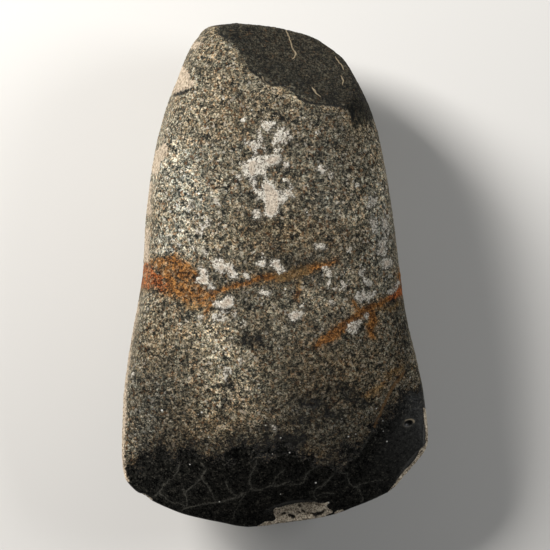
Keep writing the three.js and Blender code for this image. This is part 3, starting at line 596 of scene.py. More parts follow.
def stone(p, parts=False):
    """Below zero inside the stone. p is measured from the centre plane."""
    x, y, z = p.T
    e = 0.25
    thick = half_thickness(x, y)
    gx = (half_thickness(x + e, y) - half_thickness(x - e, y)) / (2 * e)
    gy = (half_thickness(x, y + e) - half_thickness(x, y - e)) / (2 * e)
    face = (np.abs(z) - thick) / np.sqrt(1 + gx * gx + gy * gy)
    lean = np.maximum(0, z + np.minimum(SIDE_FOOT, thick))
    sides = []
    for curve, sign, tilt in (
        (left_side, -1, SIDE_TILT_LEFT),
        (right_side, 1, SIDE_TILT_RIGHT),
    ):
        slope = (curve(y + e) - curve(y - e)) / (2 * e)
        sides.append(
            (sign * (x - curve(y)) + tilt * lean) / np.sqrt(1 + slope * slope + tilt * tilt)
        )
    side = np.maximum(*sides)
    round_off = 0.35 + 1.5 * smooth(thick, 0.5, 7)
    f = soft_max(face, side, round_off)
    for at, normal in HAFT_FLATS:
        f = soft_max(f, (p - at) @ normal, 0.5)
    found = {"side": side - face}
    for kind in ("chip", "scar", "rim"):
        found[kind] = np.full(len(p), -50.0)
    for one in FLAKES:
        cut = -in_flake(one, p)
        if parts:
            found[one["kind"]] = np.maximum(found[one["kind"]], cut - f)
        f = soft_max(f, cut, one["blend"])
    f = soft_max(f, -LIFT - z, 0.3)
    return (f, found) if parts else f


def slope_of(p, e=0.06):
    g = np.empty_like(p)
    for ax in range(3):
        d = np.zeros(3)
        d[ax] = e
        g[:, ax] = (stone(p + d) - stone(p - d)) / (2 * e)
    return g


def settle(p, times=1):
    """Moves points onto the surface of the stone."""
    for _ in range(times):
        g = slope_of(p)
        f = stone(p)
        step = f / np.maximum((g * g).sum(1), 0.05)
        p = p - np.clip(step, -1.0, 1.0)[:, None] * g
    return p


# ==== the mesh ============================================================
def ball_part(n, pole, rim):
    """Directions of a square grid folded onto the part of a ball around one pole, and each one's place on the square."""
    k = np.arange(-n, n + 1) / n
    a, b = np.meshgrid(k, k, indexing="ij")
    ring = np.maximum(abs(a), abs(b))
    with np.errstate(divide="ignore", invalid="ignore"):
        turn = np.where(
            abs(a) >= abs(b),
            math.pi / 4 * (b / a) + np.where(a < 0, math.pi, 0),
            math.pi / 2 - math.pi / 4 * (a / b) + np.where(b < 0, math.pi, 0),
        )
    turn[ring == 0] = 0
    opened = rim * (ring + 0.06 * np.sin(math.pi * ring))
    d = np.stack(
        [np.cos(turn) * np.sin(opened), np.sin(turn) * np.sin(opened), pole * np.cos(opened)], -1
    )
    return d.reshape(-1, 3), np.stack([(a + 1) / 2, (b + 1) / 2], -1).reshape(-1, 2)


def grid():
    """Vertices' directions, square places, triangles and which triangles are the upper part's."""
    n, m = RINGS, RINGS // 2
    up, place = ball_part(n, 1, math.pi / 2 + RIM_DROP)
    down, place_down = ball_part(m, -1, math.pi / 2 - RIM_DROP)
    side, side_d = 2 * n + 1, 2 * m + 1
    top = np.arange(side * side).reshape(side, side)
    low = np.full((side_d, side_d), -1)
    low[1:-1, 1:-1] = len(up) + np.arange((side_d - 2) ** 2).reshape(side_d - 2, -1)
    for edge in (np.s_[0, :], np.s_[-1, :], np.s_[:, 0], np.s_[:, -1]):
        low[edge] = top[::2, ::2][edge]
    inner = np.zeros((side_d, side_d), bool)
    inner[1:-1, 1:-1] = True
    directions = np.concatenate([up, down[inner.ravel()]])
    places = np.concatenate([place, place_down[inner.ravel()]])

    def cells(g):
        return np.stack([g[:-1, :-1], g[1:, :-1], g[1:, 1:], g[:-1, 1:]], -1).reshape(-1, 4)

    upper = cells(top)
    lower, stitched = [], []
    for i in range(side_d - 1):
        for j in range(side_d - 1):
            ring = [(i, j), (i, j + 1), (i + 1, j + 1), (i + 1, j)]
            if 0 < i < side_d - 2 and 0 < j < side_d - 2:
                lower.append([low[c] for c in ring])
                continue
            loop = []
            for c, d in zip(ring, ring[1:] + ring[:1]):
                loop.append(int(low[c]))
                same_i = c[0] == d[0] and c[0] in (0, side_d - 1)
                same_j = c[1] == d[1] and c[1] in (0, side_d - 1)
                if same_i or same_j:
                    loop.append(int(top[c[0] + d[0], c[1] + d[1]]))
            start = next(q for q, v in enumerate(loop) if v >= len(up))
            loop = loop[start:] + loop[:start]
            for q in range(1, len(loop) - 1):
                stitched.append((loop[0], loop[q], loop[q + 1]))
    return directions, places, upper, np.array(lower), np.array(stitched)


def split(quads, p):
    """Each quad as two triangles, cut along its shorter diagonal."""
    a, b, c, d = quads.T
    ac = np.linalg.norm(p[a] - p[c], axis=1) <= np.linalg.norm(p[b] - p[d], axis=1)
    one = np.where(ac[:, None], np.stack([a, b, c], 1), np.stack([a, b, d], 1))
    two = np.where(ac[:, None], np.stack([a, c, d], 1), np.stack([b, c, d], 1))
    return np.concatenate([one, two])


def normals_of(p, tris):
    n = np.cross(p[tris[:, 1]] - p[tris[:, 0]], p[tris[:, 2]] - p[tris[:, 0]])
    out = np.stack(
        [
            sum(np.bincount(tris[:, c], n[:, ax], len(p)) for c in range(3))
            for ax in range(3)
        ],
        1,
    )
    return out / np.maximum(np.linalg.norm(out, axis=1, keepdims=True), 1e-12)


class Web:
    """Each vertex's neighbours, for averaging."""

    def __init__(self, tris, count):
        e = np.concatenate([tris[:, [0, 1]], tris[:, [1, 2]], tris[:, [2, 0]]])
        e = np.unique(np.concatenate([e, e[:, ::-1]]), axis=0)
        self.a, self.b, self.n = e[:, 0], e[:, 1], count
        self.count = np.bincount(self.a, minlength=count)

    def mean(self, v):
        if v.ndim == 1:
            return np.bincount(self.a, v[self.b], self.n) / self.count
        return np.stack([self.mean(v[:, k]) for k in range(v.shape[1])], 1)


directions, places, upper_quads, lower_quads, stitched = grid()
aim = np.array([0.0, -3.0, 0.0])
rays = directions * np.array([43.0, 70.0, HALF_THICK])
near, far = np.zeros(len(rays)), np.full(len(rays), 1.8)
for _ in range(20):
    mid = (near + far) / 2
    inside = stone(aim + rays * mid[:, None]) < 0
    near, far = np.where(inside, mid, near), np.where(inside, far, mid)
P = aim + rays * ((near + far) / 2)[:, None]

tris = np.concatenate([split(upper_quads, P), split(lower_quads, P), stitched])
web = Web(tris, len(P))
for step in range(20):
    N = normals_of(P, tris)
    pull = web.mean(P) - P
    pull -= N * (pull * N).sum(1, keepdims=True)
    P = P + 0.6 * pull
    if step % 5 == 4:
        P = settle(P)
P = settle(P, 2)
upper_tris = split(upper_quads, P)
tris = np.concatenate([upper_tris, split(lower_quads, P), stitched])
web = Web(tris, len(P))
N = normals_of(P, tris)
for _ in range(2):
    N = web.mean(N)
    N /= np.linalg.norm(N, axis=1, keepdims=True)

_, found = stone(P, parts=True)


# ==== fields on the surface ===============================================
def seen_from_above(p):
    """x and y as they line up from the camera's height, on the centre plane."""
    return p[:, :2] * (EYE / (EYE - p[:, 2]))[:, None]


def along_strokes(q, strokes):
    """Distance inside the nearest stroke, signed distance to its middle line and the half width there."""
    inside = np.full(len(q), -60.0)
    signed = np.full(len(q), 60.0)
    plain, width = np.full(len(q), 60.0), np.zeros(len(q))
    for stroke in strokes:
        pts = np.array(stroke, float)
        lo, hi = pts[:, :2].min(0) - 12, pts[:, :2].max(0) + 12
        near = np.where(((q > lo) & (q < hi)).all(1))[0]
        if not len(near):
            continue
        s = q[near]
        best_in = np.full(len(s), -60.0)
        best_d = np.full(len(s), 60.0)
        best_s = np.full(len(s), 60.0)
        best_w = np.zeros(len(s))
        for a, b in zip(pts[:-1], pts[1:]):
            ab = b[:2] - a[:2]
            t = np.clip(((s - a[:2]) @ ab) / (ab @ ab), 0, 1)
            d = s - (a[:2] + t[:, None] * ab)
            r = np.hypot(d[:, 0], d[:, 1])
            w = a[2] + (b[2] - a[2]) * t
            best_w = np.where(w - r > best_in, w, best_w)
            best_in = np.maximum(best_in, w - r)
            side = np.sign(ab[0] * d[:, 1] - ab[1] * d[:, 0])
            closer = r < best_d
            best_s = np.where(closer, side * r, best_s)
            best_d = np.where(closer, r, best_d)
        width[near] = np.where(best_in > inside[near], best_w, width[near])
        inside[near] = np.maximum(inside[near], best_in)
        closer = best_d < plain[near]
        signed[near] = np.where(closer, best_s, signed[near])
        plain[near] = np.minimum(plain[near], best_d)
    return inside, signed, width


def among_blobs(q, blobs, hard=True):
    """Distance inside the nearest blob, in mm, or the sum of soft blobs."""
    out = np.full(len(q), -9.0) if hard else np.zeros(len(q))
    for x, y, rx, ry, strength, turn in blobs:
        c, s = math.cos(math.radians(turn)), math.sin(math.radians(turn))
        dx, dy = q[:, 0] - x, q[:, 1] - y
        u, v = (dx * c + dy * s) / rx, (-dx * s + dy * c) / ry
        if hard:
            r = np.hypot(u, v)
            out = np.maximum(out, np.clip(1 - r, -20, 1) * min(rx, ry) + (strength - 1) * 1.1)
        else:
            out += strength * np.exp(-1.1 * (u * u + v * v))
    return out


def inside_outlines(q, outlines):
    """Distance inside the nearest of some closed outlines, in mm."""
    out = np.full(len(q), -9.0)
    for outline in outlines:
        pts = np.array(outline, float)
        near = np.where(((q > pts.min(0) - 3) & (q < pts.max(0) + 3)).all(1))[0]
        s = q[near]
        best, odd = np.full(len(s), 9.0), np.zeros(len(s), bool)
        for a, b in zip(pts, np.roll(pts, -1, 0)):
            ab = b - a
            t = np.clip(((s - a) @ ab) / (ab @ ab), 0, 1)
            best = np.minimum(best, np.hypot(*(s - a - t[:, None] * ab).T))
            if ab[1] != 0:
                spans = (a[1] > s[:, 1]) != (b[1] > s[:, 1])
                odd ^= spans & (s[:, 0] < ab[0] * (s[:, 1] - a[1]) / ab[1] + a[0])
        out[near] = np.maximum(out[near], np.where(odd, best, -best))
    return out


def past_line(q, pts):
    """Signed distance to an open line, positive on its left hand."""
    pts = np.array(pts, float)
    best, out = np.full(len(q), 90.0), np.full(len(q), -90.0)
    for a, b in zip(pts[:-1], pts[1:]):
        ab = b - a
        t = np.clip(((q - a) @ ab) / (ab @ ab), 0, 1)
        d = q - (a + t[:, None] * ab)
        r = np.hypot(d[:, 0], d[:, 1])
        side = np.where(ab[0] * (q[:, 1] - a[1]) - ab[1] * (q[:, 0] - a[0]) > 0, 1, -1)
        out = np.where(r < best, side * r, out)
        best = np.minimum(best, r)
    return out


Q = seen_from_above(P)
above = smooth(N[:, 2], -0.32, 0.02)  # 1 on the upper face and the narrow sides' upper part
warp = np.stack([noise(P, 5.0, 3, 2), noise(P, 5.0, 4, 2)], 1)
fine_warp = np.stack([noise(P, 1.5, 5, 2), noise(P, 1.5, 6, 2)], 1)
Qw = Q + 0.7 * warp + 0.35 * fine_warp

rust, _, rust_width = along_strokes(Q + 0.35 * warp + 0.35 * fine_warp, RUST)
patch = inside_outlines(Q + 0.9 * warp + 0.8 * fine_warp, RUST_PATCH)
patch = np.minimum(patch, 0.4 - inside_outlines(Q + 0.6 * warp + 0.6 * fine_warp, RUST_GAPS))
rust_width = np.where(patch > rust, 3.5, rust_width)
rust = np.maximum(rust, patch)
rust_faint, _, _ = along_strokes(Q + 0.8 * warp + 0.7 * fine_warp, RUST_FAINT)
rust_red, _, _ = along_strokes(Qw, RUST_RED)
rust_thin, _, _ = along_strokes(Q + 0.3 * warp + 0.2 * fine_warp, RUST_THIN)
veins_in, veins_signed, _ = along_strokes(Q + 0.5 * warp + 0.35 * fine_warp, VEINS)
cracks_in, cracks_signed, _ = along_strokes(Q + 0.35 * fine_warp, CRACKS)
grooves, _, _ = along_strokes(Q + 0.25 * fine_warp, GROOVES)
scatter = among_blobs(Q + 0.5 * warp + 0.6 * fine_warp, CRUST)
scatter += 0.6 * noise(P, 2.6, 63, 2, 0.6) + 1.9 * noise(P, 1.25, 64, 1) - 0.2
crust = inside_outlines(Q + 0.15 * warp + 0.3 * fine_warp, CRUST_OUTLINES) + 0.1
crust = np.maximum(crust + 0.3 * noise(P, 1.1, 65, 1), np.minimum(scatter, 0.5))
tone = among_blobs(Q + 1.2 * warp, TONE, hard=False)
bluish = among_blobs(Q + 1.2 * warp, BLUISH, hard=False)
brownish = among_blobs(Q + 1.2 * warp + 0.6 * fine_warp, BROWNISH, hard=False)

line = np.array(BLADE_LINE)
limit = np.interp(Q[:, 0], line[:, 0], line[:, 1])
limit_below = -45.0 + 3.0 * np.sin(Q[:, 0] / 11.0)
blade = (above * limit + (1 - above) * limit_below - Q[:, 1]) * 0.9
patches = among_blobs(Q + 1.2 * warp + 0.8 * fine_warp, DARK_PATCHES)
patches = np.where(above > 0.1, patches, -9.0)
blade_soft = smooth(blade + 3.0 * noise(P, 9.0, 11, 2), -12, 12)

for field in (rust, rust_red, rust_thin, rust_faint, veins_in, cracks_in, grooves, crust):
    field[:] = np.where(above > 0.02, field - 6 * (1 - above), -9.0)
under_crust = 2.2 * noise(P, 9.0, 21, 3) - 1.9 + 1.2 * noise(P, 2.4, 22)
crust = np.where(above < 0.5, np.maximum(crust, under_crust * (1 - 2 * above)), crust)

# the scar's dark surface, the fresh chips and the pale strips
upper_scar = past_line(Q + 0.5 * warp + 0.5 * fine_warp, BUTT_LINE)
butt_end = smooth(P[:, 1], 30, 34)
dark_scar = np.where(above > 0.5, np.where(butt_end > 0.5, upper_scar, -9.0), found["scar"])
chip_in = np.where(above > 0.1, inside_outlines(Q + 0.12 * fine_warp, CHIP_OUTLINES), found["chip"])
pale_in = inside_outlines(Q + 0.35 * fine_warp, PALE_OUTLINES)
pale_in = np.where(above > 0.02, pale_in, -9.0)
# what the upper face shows runs out raggedly down the narrow sides
reach = P[:, 2] - P[:, 2].min() + 3.0 * noise(P, 4.0, 81, 3)
pale_in = pale_in - 0.35 * np.clip(17.0 - reach, 0, None)
rust = rust - 0.6 * np.clip(15.5 - reach, 0, None)
rust_faint = rust_faint - 0.6 * np.clip(15.5 - reach, 0, None)

scar = smooth(found["scar"], -0.25, 0.25)
chip = smooth(chip_in, -0.12, 0.2)
rim = smooth(found["rim"], -0.1, 0.1)

# ==== relief ==============================================================
ground = 1 - np.maximum.reduce([scar, chip, rim])
rough = ground * (1 - 0.93 * blade_soft)
belly = smooth(P[:, 2] + LIFT, 0.02, 0.5)

relief = np.zeros(len(P))
relief += 0.10 * noise(P, 17.0, 41, 2) * ground  # facets left by grinding
relief += 0.045 * noise(P * np.array([1.0, 0.35, 1.0]), 4.5, 42, 2) * ground * (0.4 + 0.6 * (1 - blade_soft))
relief += rough * 0.11 * noise(P, 2.4, 43, 3, 0.7)
relief += rough * 0.09 * noise(P, 0.95, 44, 1)
relief -= rough * 0.14 * pits(P, 2.1, 45, 0.42, (0.22, 0.5))
relief -= rough * 0.12 * pits(P, 1.15, 46, 0.45, (0.3, 0.55))
relief -= ground * blade_soft * 0.05 * pits(P, 3.0, 47, 0.2, (0.12, 0.3))
# flake beds: hackles, ripples and small steps
hackle = np.abs(noise(P * np.array([1.0, 0.45, 1.0]), 3.4, 51, 3, 0.6))
relief += scar * (0.34 * noise(P, 7.5, 52, 2) + 0.17 * (0.5 - hackle) + 0.08 * noise(P, 1.2, 53, 2))
relief += chip * (0.13 * noise(P, 2.4, 54, 3, 0.65) - 0.22 * pits(P, 2.6, 55, 0.5, (0.2, 0.45)))
relief += rim * 0.06 * noise(P, 1.8, 56, 2)
# crust stands proud, root traces hardly, cracks are open
crust_in = smooth(crust, -0.1, 0.45)
relief += crust_in * (0.13 + 0.10 * noise(P, 1.1, 62, 2)) * ground
relief += 0.035 * smooth(veins_in, -0.3, 0.1) * ground
relief -= 0.10 * smooth(cracks_in, -0.35, 0.05)
relief -= 0.30 * smooth(grooves, -0.3, 0.25)

# the pit near the right corner
dx, dy = Q[:, 0] - 37.0, Q[:, 1] + 41.1
turned = np.stack([0.94 * dx + 0.34 * dy, 0.94 * dy - 0.34 * dx], 1) / (1.15, 0.72)
round_pit = np.hypot(turned[:, 0], turned[:, 1])
relief -= 0.42 * smooth(round_pit, 1.25, 0.5) * above
relief += 0.10 * np.exp(-(((round_pit - 1.4) / 0.3) ** 2)) * above

relief *= belly
relief = np.where(relief > 0, relief * smooth(half_thickness(P[:, 0], P[:, 1]), 0.1, 1.2), relief)
# how far the relief lies below or above its neighbours' mean; the material darkens the hollows and lightens the rises
# with it as painted shade and light
wide = relief.copy()
for _ in range(7):
    wide = web.mean(wide)
hollow = relief - wide
P = P + N * relief[:, None]

# keep to the solid's own box, and flat where it lies
P[:, 2] += LIFT
P[:, 2] = np.maximum(P[:, 2], 0.0)
P = np.clip(P, LOW, HIGH)


# ==== the object ==========================================================
def clipped(v, lo, hi):
    return np.clip(v, lo, hi).astype(np.float32)


mesh = bpy.data.meshes.new("axe_head_stone")
mesh.from_pydata((P / 1000).tolist(), [], tris.tolist())
mesh.update()
mesh.polygons.foreach_set("use_smooth", np.ones(len(mesh.polygons), bool))
FIELDS = {
    "rust": clipped(rust, -6, 6),
    "rust_width": clipped(rust_width, 0, 6),
    "rust_faint": clipped(rust_faint, -6, 6),
    "rust_red": clipped(rust_red, -6, 6),
    "rust_thin": clipped(rust_thin, -4, 2),
    "veins": clipped(veins_in, -3, 2),
    "veins_signed": clipped(veins_signed, -3, 3),
    "cracks": clipped(cracks_in, -3, 2),
    "cracks_signed": clipped(cracks_signed, -3, 3),
    "crust": clipped(crust, -4, 4),
    "tone": clipped(tone, -1, 1),
    "bluish": clipped(bluish, 0, 1),
    "brownish": clipped(brownish * above, 0, 1),
    "patches": clipped(patches, -6, 6),
    "pit": clipped(round_pit + 9.0 * (1 - above), 0, 9),
    "pit_turn": clipped(turned[:, 0] + turned[:, 1], -9, 9),
    "blade": clipped(blade, -60, 60),
    "scar": clipped(dark_scar, -20, 20),
    "chip": clipped(chip_in, -3, 3),
    "pale": clipped(pale_in, -3, 3),
    "grooves": clipped(grooves, -3, 3),
    "side": clipped(found["side"], -8, 8),
    "hollow": clipped(hollow, -0.4, 0.4),
    "above": clipped(above, 0, 1),
}
for name, values in FIELDS.items():
    mesh.attributes.new(name, "FLOAT", "POINT").data.foreach_set("value", values)

# two islands: the upper part on the left of the sheet, the lower on the right
corner = np.empty(len(mesh.loops), np.int64)
mesh.loops.foreach_get("vertex_index", corner)
is_upper = np.repeat(np.arange(len(mesh.polygons)) < len(upper_tris), 3)
uv = places[corner].copy()
uv[is_upper] = uv[is_upper] * (0.60, 0.98) + (0.01, 0.01)
uv[~is_upper] = (uv[~is_upper] * (-1, 1) + (1, 0)) * (0.36, 0.98) + (0.63, 0.01)
mesh.uv_layers.new(name="OFBake", do_init=False).uv.foreach_set(
    "vector", uv.astype(np.float32).ravel()
)

piece = bpy.data.objects.new("axe_head_stone", mesh)
bpy.context.scene.collection.objects.link(piece)

# ==== the stone's material ================================================
class Net:
    """Short names for the nodes of one material."""

    def __init__(self, name):
        self.mat = bpy.data.materials.new(name)
        self.mat.use_nodes = True
        self.tree = self.mat.node_tree
        self.tree.nodes.clear()
        place = self.new("ShaderNodeTexCoord").outputs["Object"]
        scaled = self.new("ShaderNodeVectorMath", operation="SCALE")
        self.tree.links.new(place, scaled.inputs[0])
        scaled.inputs["Scale"].default_value = 1000.0
        self.mm = scaled.outputs[0]  # the place on the stone in millimetres

    def new(self, kind, **settings):
        node = self.tree.nodes.new(kind)
        for key, value in settings.items():
            setattr(node, key, value)
        return node

    def put(self, socket, value):
        if isinstance(value, bpy.types.NodeSocket):
            self.tree.links.new(value, socket)
        elif hasattr(socket.default_value, "__len__") and not hasattr(value, "__len__"):
            socket.default_value = [value] * len(socket.default_value)
        elif hasattr(value, "__len__") and len(value) == 3 and len(socket.default_value) == 4:
            socket.default_value = (*value, 1.0)
        else:
            socket.default_value = value

    def math(self, operation, a, b=0.0, c=None, clamp=False):
        node = self.new("ShaderNodeMath", operation=operation, use_clamp=clamp)
        self.put(node.inputs[0], a)
        self.put(node.inputs[1], b)
        if c is not None:
            self.put(node.inputs[2], c)
        return node.outputs[0]

    def add(self, a, b):
        return self.math("ADD", a, b)

    def sub(self, a, b):
        return self.math("SUBTRACT", a, b)

    def mul(self, a, b):
        return self.math("MULTIPLY", a, b)

    def field(self, name):
        return self.new("ShaderNodeAttribute", attribute_name=name).outputs["Fac"]

    def step(self, x, lo, hi, to_lo=0.0, to_hi=1.0):
        node = self.new("ShaderNodeMapRange", interpolation_type="SMOOTHSTEP", clamp=True)
        for socket, value in zip(node.inputs, (x, lo, hi, to_lo, to_hi)):
            self.put(socket, value)
        return node.outputs[0]

    def at(self, offset, stretch=(1, 1, 1), turn=0.0):
        node = self.new("ShaderNodeMapping")
        self.put(node.inputs["Vector"], self.mm)
        node.inputs["Location"].default_value = offset
        node.inputs["Rotation"].default_value = (0, 0, turn)
        node.inputs["Scale"].default_value = stretch
        return node.outputs[0]

    def noise(self, size, detail=2.0, rough=0.5, offset=(0, 0, 0), stretch=(1, 1, 1), turn=0.0, bend=0.0):
        node = self.new("ShaderNodeTexNoise", noise_dimensions="3D")
        self.put(node.inputs["Vector"], self.at(offset, stretch, turn))
        node.inputs["Scale"].default_value = 1.0 / size
        node.inputs["Detail"].default_value = detail
        node.inputs["Roughness"].default_value = rough
        node.inputs["Distortion"].default_value = bend
        return node.outputs["Fac"]

    def cells(self, size, offset=(0, 0, 0), stretch=(1, 1, 1), turn=0.0, vector=None):
        node = self.new("ShaderNodeTexVoronoi", voronoi_dimensions="3D", feature="F1")
        self.put(node.inputs["Vector"], vector or self.at(offset, stretch, turn))
        node.inputs["Scale"].default_value = 1.0 / size
        split = self.new("ShaderNodeSeparateColor")
        self.put(split.inputs[0], node.outputs["Color"])
        return split.outputs[0], split.outputs[1], split.outputs[2], node.outputs["Distance"]

    def mix(self, fac, a, b, blend="MIX"):
        node = self.new("ShaderNodeMix", data_type="RGBA", blend_type=blend)
        self.put(node.inputs[0], fac)
        self.put(node.inputs[6], a)
        self.put(node.inputs[7], b)
        return node.outputs[2]

    def ramp(self, fac, stops):
        node = self.new("ShaderNodeValToRGB")
        self.put(node.inputs[0], fac)
        items = node.color_ramp.elements
        while len(items) < len(stops):
            items.new(0.5)
        for item, (place, colour) in zip(items, stops):
            item.position = place
            item.color = (*colour, 1.0)
        return node.outputs[0]

    def grey(self, value):
        node = self.new("ShaderNodeCombineColor")
        for socket in node.inputs[:3]:
            self.put(socket, value)
        return node.outputs[0]


# the small white crystals, each at its nearest place on the upper face
on_top = np.where(above > 0.5)[0]
SPOTS_ON_STONE = []
for x, y, size in SPOTS:
    nearest = on_top[np.argmin(((Q[on_top] - (x, y)) ** 2).sum(1))]
    SPOTS_ON_STONE.append((*(float(v) for v in P[nearest]), size))


def stone_material():
    n = Net("stone")
    blade, scar, chip, pale = (n.field(k) for k in ("blade", "scar", "chip", "pale"))
    hollow = n.field("hollow")

    # crystals: two sizes of grain, pulled about so that no cell stays round
    bend = n.new("ShaderNodeTexNoise", noise_dimensions="3D")
    n.put(bend.inputs["Vector"], n.mm)
    bend.inputs["Scale"].default_value = 1 / 0.6
    bend.inputs["Detail"].default_value = 2.0
    bent = n.new("ShaderNodeVectorMath", operation="MULTIPLY_ADD")
    n.put(bent.inputs[0], bend.outputs["Color"])
    bent.inputs[1].default_value = (0.55, 0.55, 0.55)
    n.put(bent.inputs[2], n.mm)
    bent = bent.outputs[0]
    big_a, big_b, big_c, _ = n.cells(0.62, vector=bent)
    small_a, small_b, small_c, _ = n.cells(0.36, vector=bent)
    dust = n.noise(0.42, 3.0, 0.7, (3.1, 7.7, 1.3))
    patch = n.noise(2.6, 3.0, 0.55, (9.2, 1.4, 5.5))
    wide = n.noise(11.0, 4.0, 0.55, (2.2, 8.4, 4.1))

    clump = n.noise(1.25, 3.0, 0.6, (6.1, 2.3, 8.8))
    grain = n.add(n.mul(big_a, 0.34), n.mul(small_a, 0.38))
    grain = n.add(grain, n.mul(n.step(dust, 0.34, 0.66), 0.40))
    grain = n.add(grain, n.mul(n.sub(patch, 0.5), 0.45))
    grain = n.add(grain, n.mul(n.sub(clump, 0.5), 0.75))
    # the relief's hollows darker and its rises lighter: painted shade and light
    grain = n.add(n.sub(grain, 0.07), n.mul(hollow, 2.2))
    stone = n.ramp(
        grain,
        [
            (0.12, (0.008, 0.009, 0.008)),
            (0.28, (0.042, 0.042, 0.034)),
            (0.44, (0.135, 0.123, 0.093)),
            (0.58, (0.245, 0.217, 0.160)),
            (0.74, (0.430, 0.380, 0.285)),
            (0.92, (0.740, 0.690, 0.570)),
        ],
    )
    # rusty, greenish-blue and near-black crystals among the rest
    stone = n.mix(0.35, stone, n.mix(1.0, stone, (1.08, 0.98, 0.82), "MULTIPLY"))
    stone = n.mix(n.mul(n.step(big_b, 0.62, 0.86), 0.7), stone, n.mix(1.0, stone, (1.16, 0.94, 0.74), "MULTIPLY"))
    stone = n.mix(n.mul(n.step(small_b, 0.60, 0.80), 0.7), stone, n.mix(1.0, stone, (0.84, 0.99, 1.05), "MULTIPLY"))
    stone = n.mix(n.mul(n.step(big_b, 0.94, 0.96), 0.5), stone, (0.200, 0.095, 0.040))
    stone = n.mix(n.mul(n.step(small_c, 0.86, 0.89), 0.8), stone, (0.012, 0.013, 0.012))
    stone = n.mix(n.mul(n.step(big_c, 0.955, 0.97), 0.6), stone, (0.62, 0.57, 0.48))

    # broad passages: mostly the stone's own tone, with some painted light and shade on the flanks
    level = n.add(n.sub(n.field("tone"), 0.27), n.mul(n.sub(wide, 0.5), 1.0))
    level = n.add(level, n.mul(n.sub(n.noise(4.5, 3.0, 0.6, (4, 9, 2)), 0.5), 0.8))
    stone = n.mix(1.0, stone, n.grey(n.math("EXPONENT", level)), "MULTIPLY")
    warm = n.step(n.noise(6.0, 4.0, 0.6, (7, 3, 8)), 0.38, 0.62)
    stone = n.mix(n.mul(warm, 0.22), stone, n.mix(1.0, stone, (1.16, 0.94, 0.72), "MULTIPLY"))
    cool = n.mul(n.field("bluish"), n.step(n.noise(3.0, 3.0, 0.6, (1, 5, 9)), 0.2, 0.75, 0.35, 1.0))
    stone = n.mix(n.mul(cool, 0.8), stone, n.mix(1.0, stone, (0.87, 1.0, 1.20), "MULTIPLY"))
    brown = n.mul(n.field("brownish"), n.step(n.noise(3.2, 4.0, 0.65, (9, 5, 3)), 0.3, 0.6, 0.3, 1.0))
    stone = n.mix(n.mul(brown, 0.7), stone, n.mix(1.0, stone, (1.10, 0.92, 0.70), "MULTIPLY"))
    # the narrow sides are a little paler and yellower: partly their own tint, partly painted light
    side = n.step(n.add(n.field("side"), n.mul(n.sub(dust, 0.5), 3.0)), -0.6, 1.6)
    stone = n.mix(n.mul(side, 0.12), stone, (0.36, 0.315, 0.230))

    # the ground blade: near black, its brown skin worn off in ragged patches
    ragged = n.mul(n.sub(n.noise(6.0, 6.0, 0.72, (5, 2, 6)), 0.5), 22.0)
    ragged = n.add(ragged, n.mul(n.sub(grain, 0.5), -5.0))
    depth = n.add(blade, ragged)
    shade = n.mix(n.step(n.add(blade, n.mul(ragged, 0.40)), -9.0, 2.5), stone, n.mix(1.0, stone, (0.26, 0.235, 0.21), "MULTIPLY"))
    torn = n.add(n.field("patches"), n.add(n.mul(n.sub(n.noise(2.4, 5.0, 0.7, (7, 1, 5)), 0.5), 7.0), n.mul(n.sub(grain, 0.5), -1.8)))
    shade = n.mix(n.step(torn, -2.8, 0.6), shade, n.mix(1.0, shade, (0.42, 0.43, 0.43), "MULTIPLY"))
    black_grain = n.ramp(
        n.add(n.mul(grain, 0.70), n.mul(n.noise(0.8, 4.0, 0.75, (6, 6, 1)), 0.35)),
        [
            (0.26, (0.0008, 0.0009, 0.0008)),
            (0.48, (0.0036, 0.0038, 0.0035)),
            (0.66, (0.0120, 0.0120, 0.0105)),
            (0.88, (0.0600, 0.0560, 0.0450)),
        ],
    )
    black = n.math("MAXIMUM", n.step(depth, -2.8, 0.8), n.mul(n.step(torn, -0.3, 1.3), 0.8))
    shade = n.mix(n.mul(black, 0.975), shade, black_grain)
    # the blade's right part: a smooth grey skin, wider towards the right corner, partly its own grey and partly a
    # painted sheen
    right = n.new("ShaderNodeSeparateXYZ")
    n.put(right.inputs[0], n.mm)
    rightward = n.step(n.add(right.outputs[0], n.mul(right.outputs[1], 0.5)), -8.0, 16.0)
    plain = n.step(n.add(blade, n.mul(n.sub(n.noise(5.0, 3.0, 0.5, (8, 1, 1)), 0.5), 10.0)), 1.0, 9.0)
    plain = n.mul(plain, n.add(0.05, n.mul(rightward, 0.8)))
    skin_and_sheen = n.ramp(
        n.add(n.mul(n.noise(0.7, 4.0, 0.75, (2, 2, 7)), 0.7), n.mul(grain, 0.3)),
        [(0.32, (0.0085, 0.0086, 0.0084)), (0.55, (0.0225, 0.0222, 0.0210)), (0.78, (0.0500, 0.0490, 0.0455))],
    )
    shade = n.mix(plain, shade, skin_and_sheen)

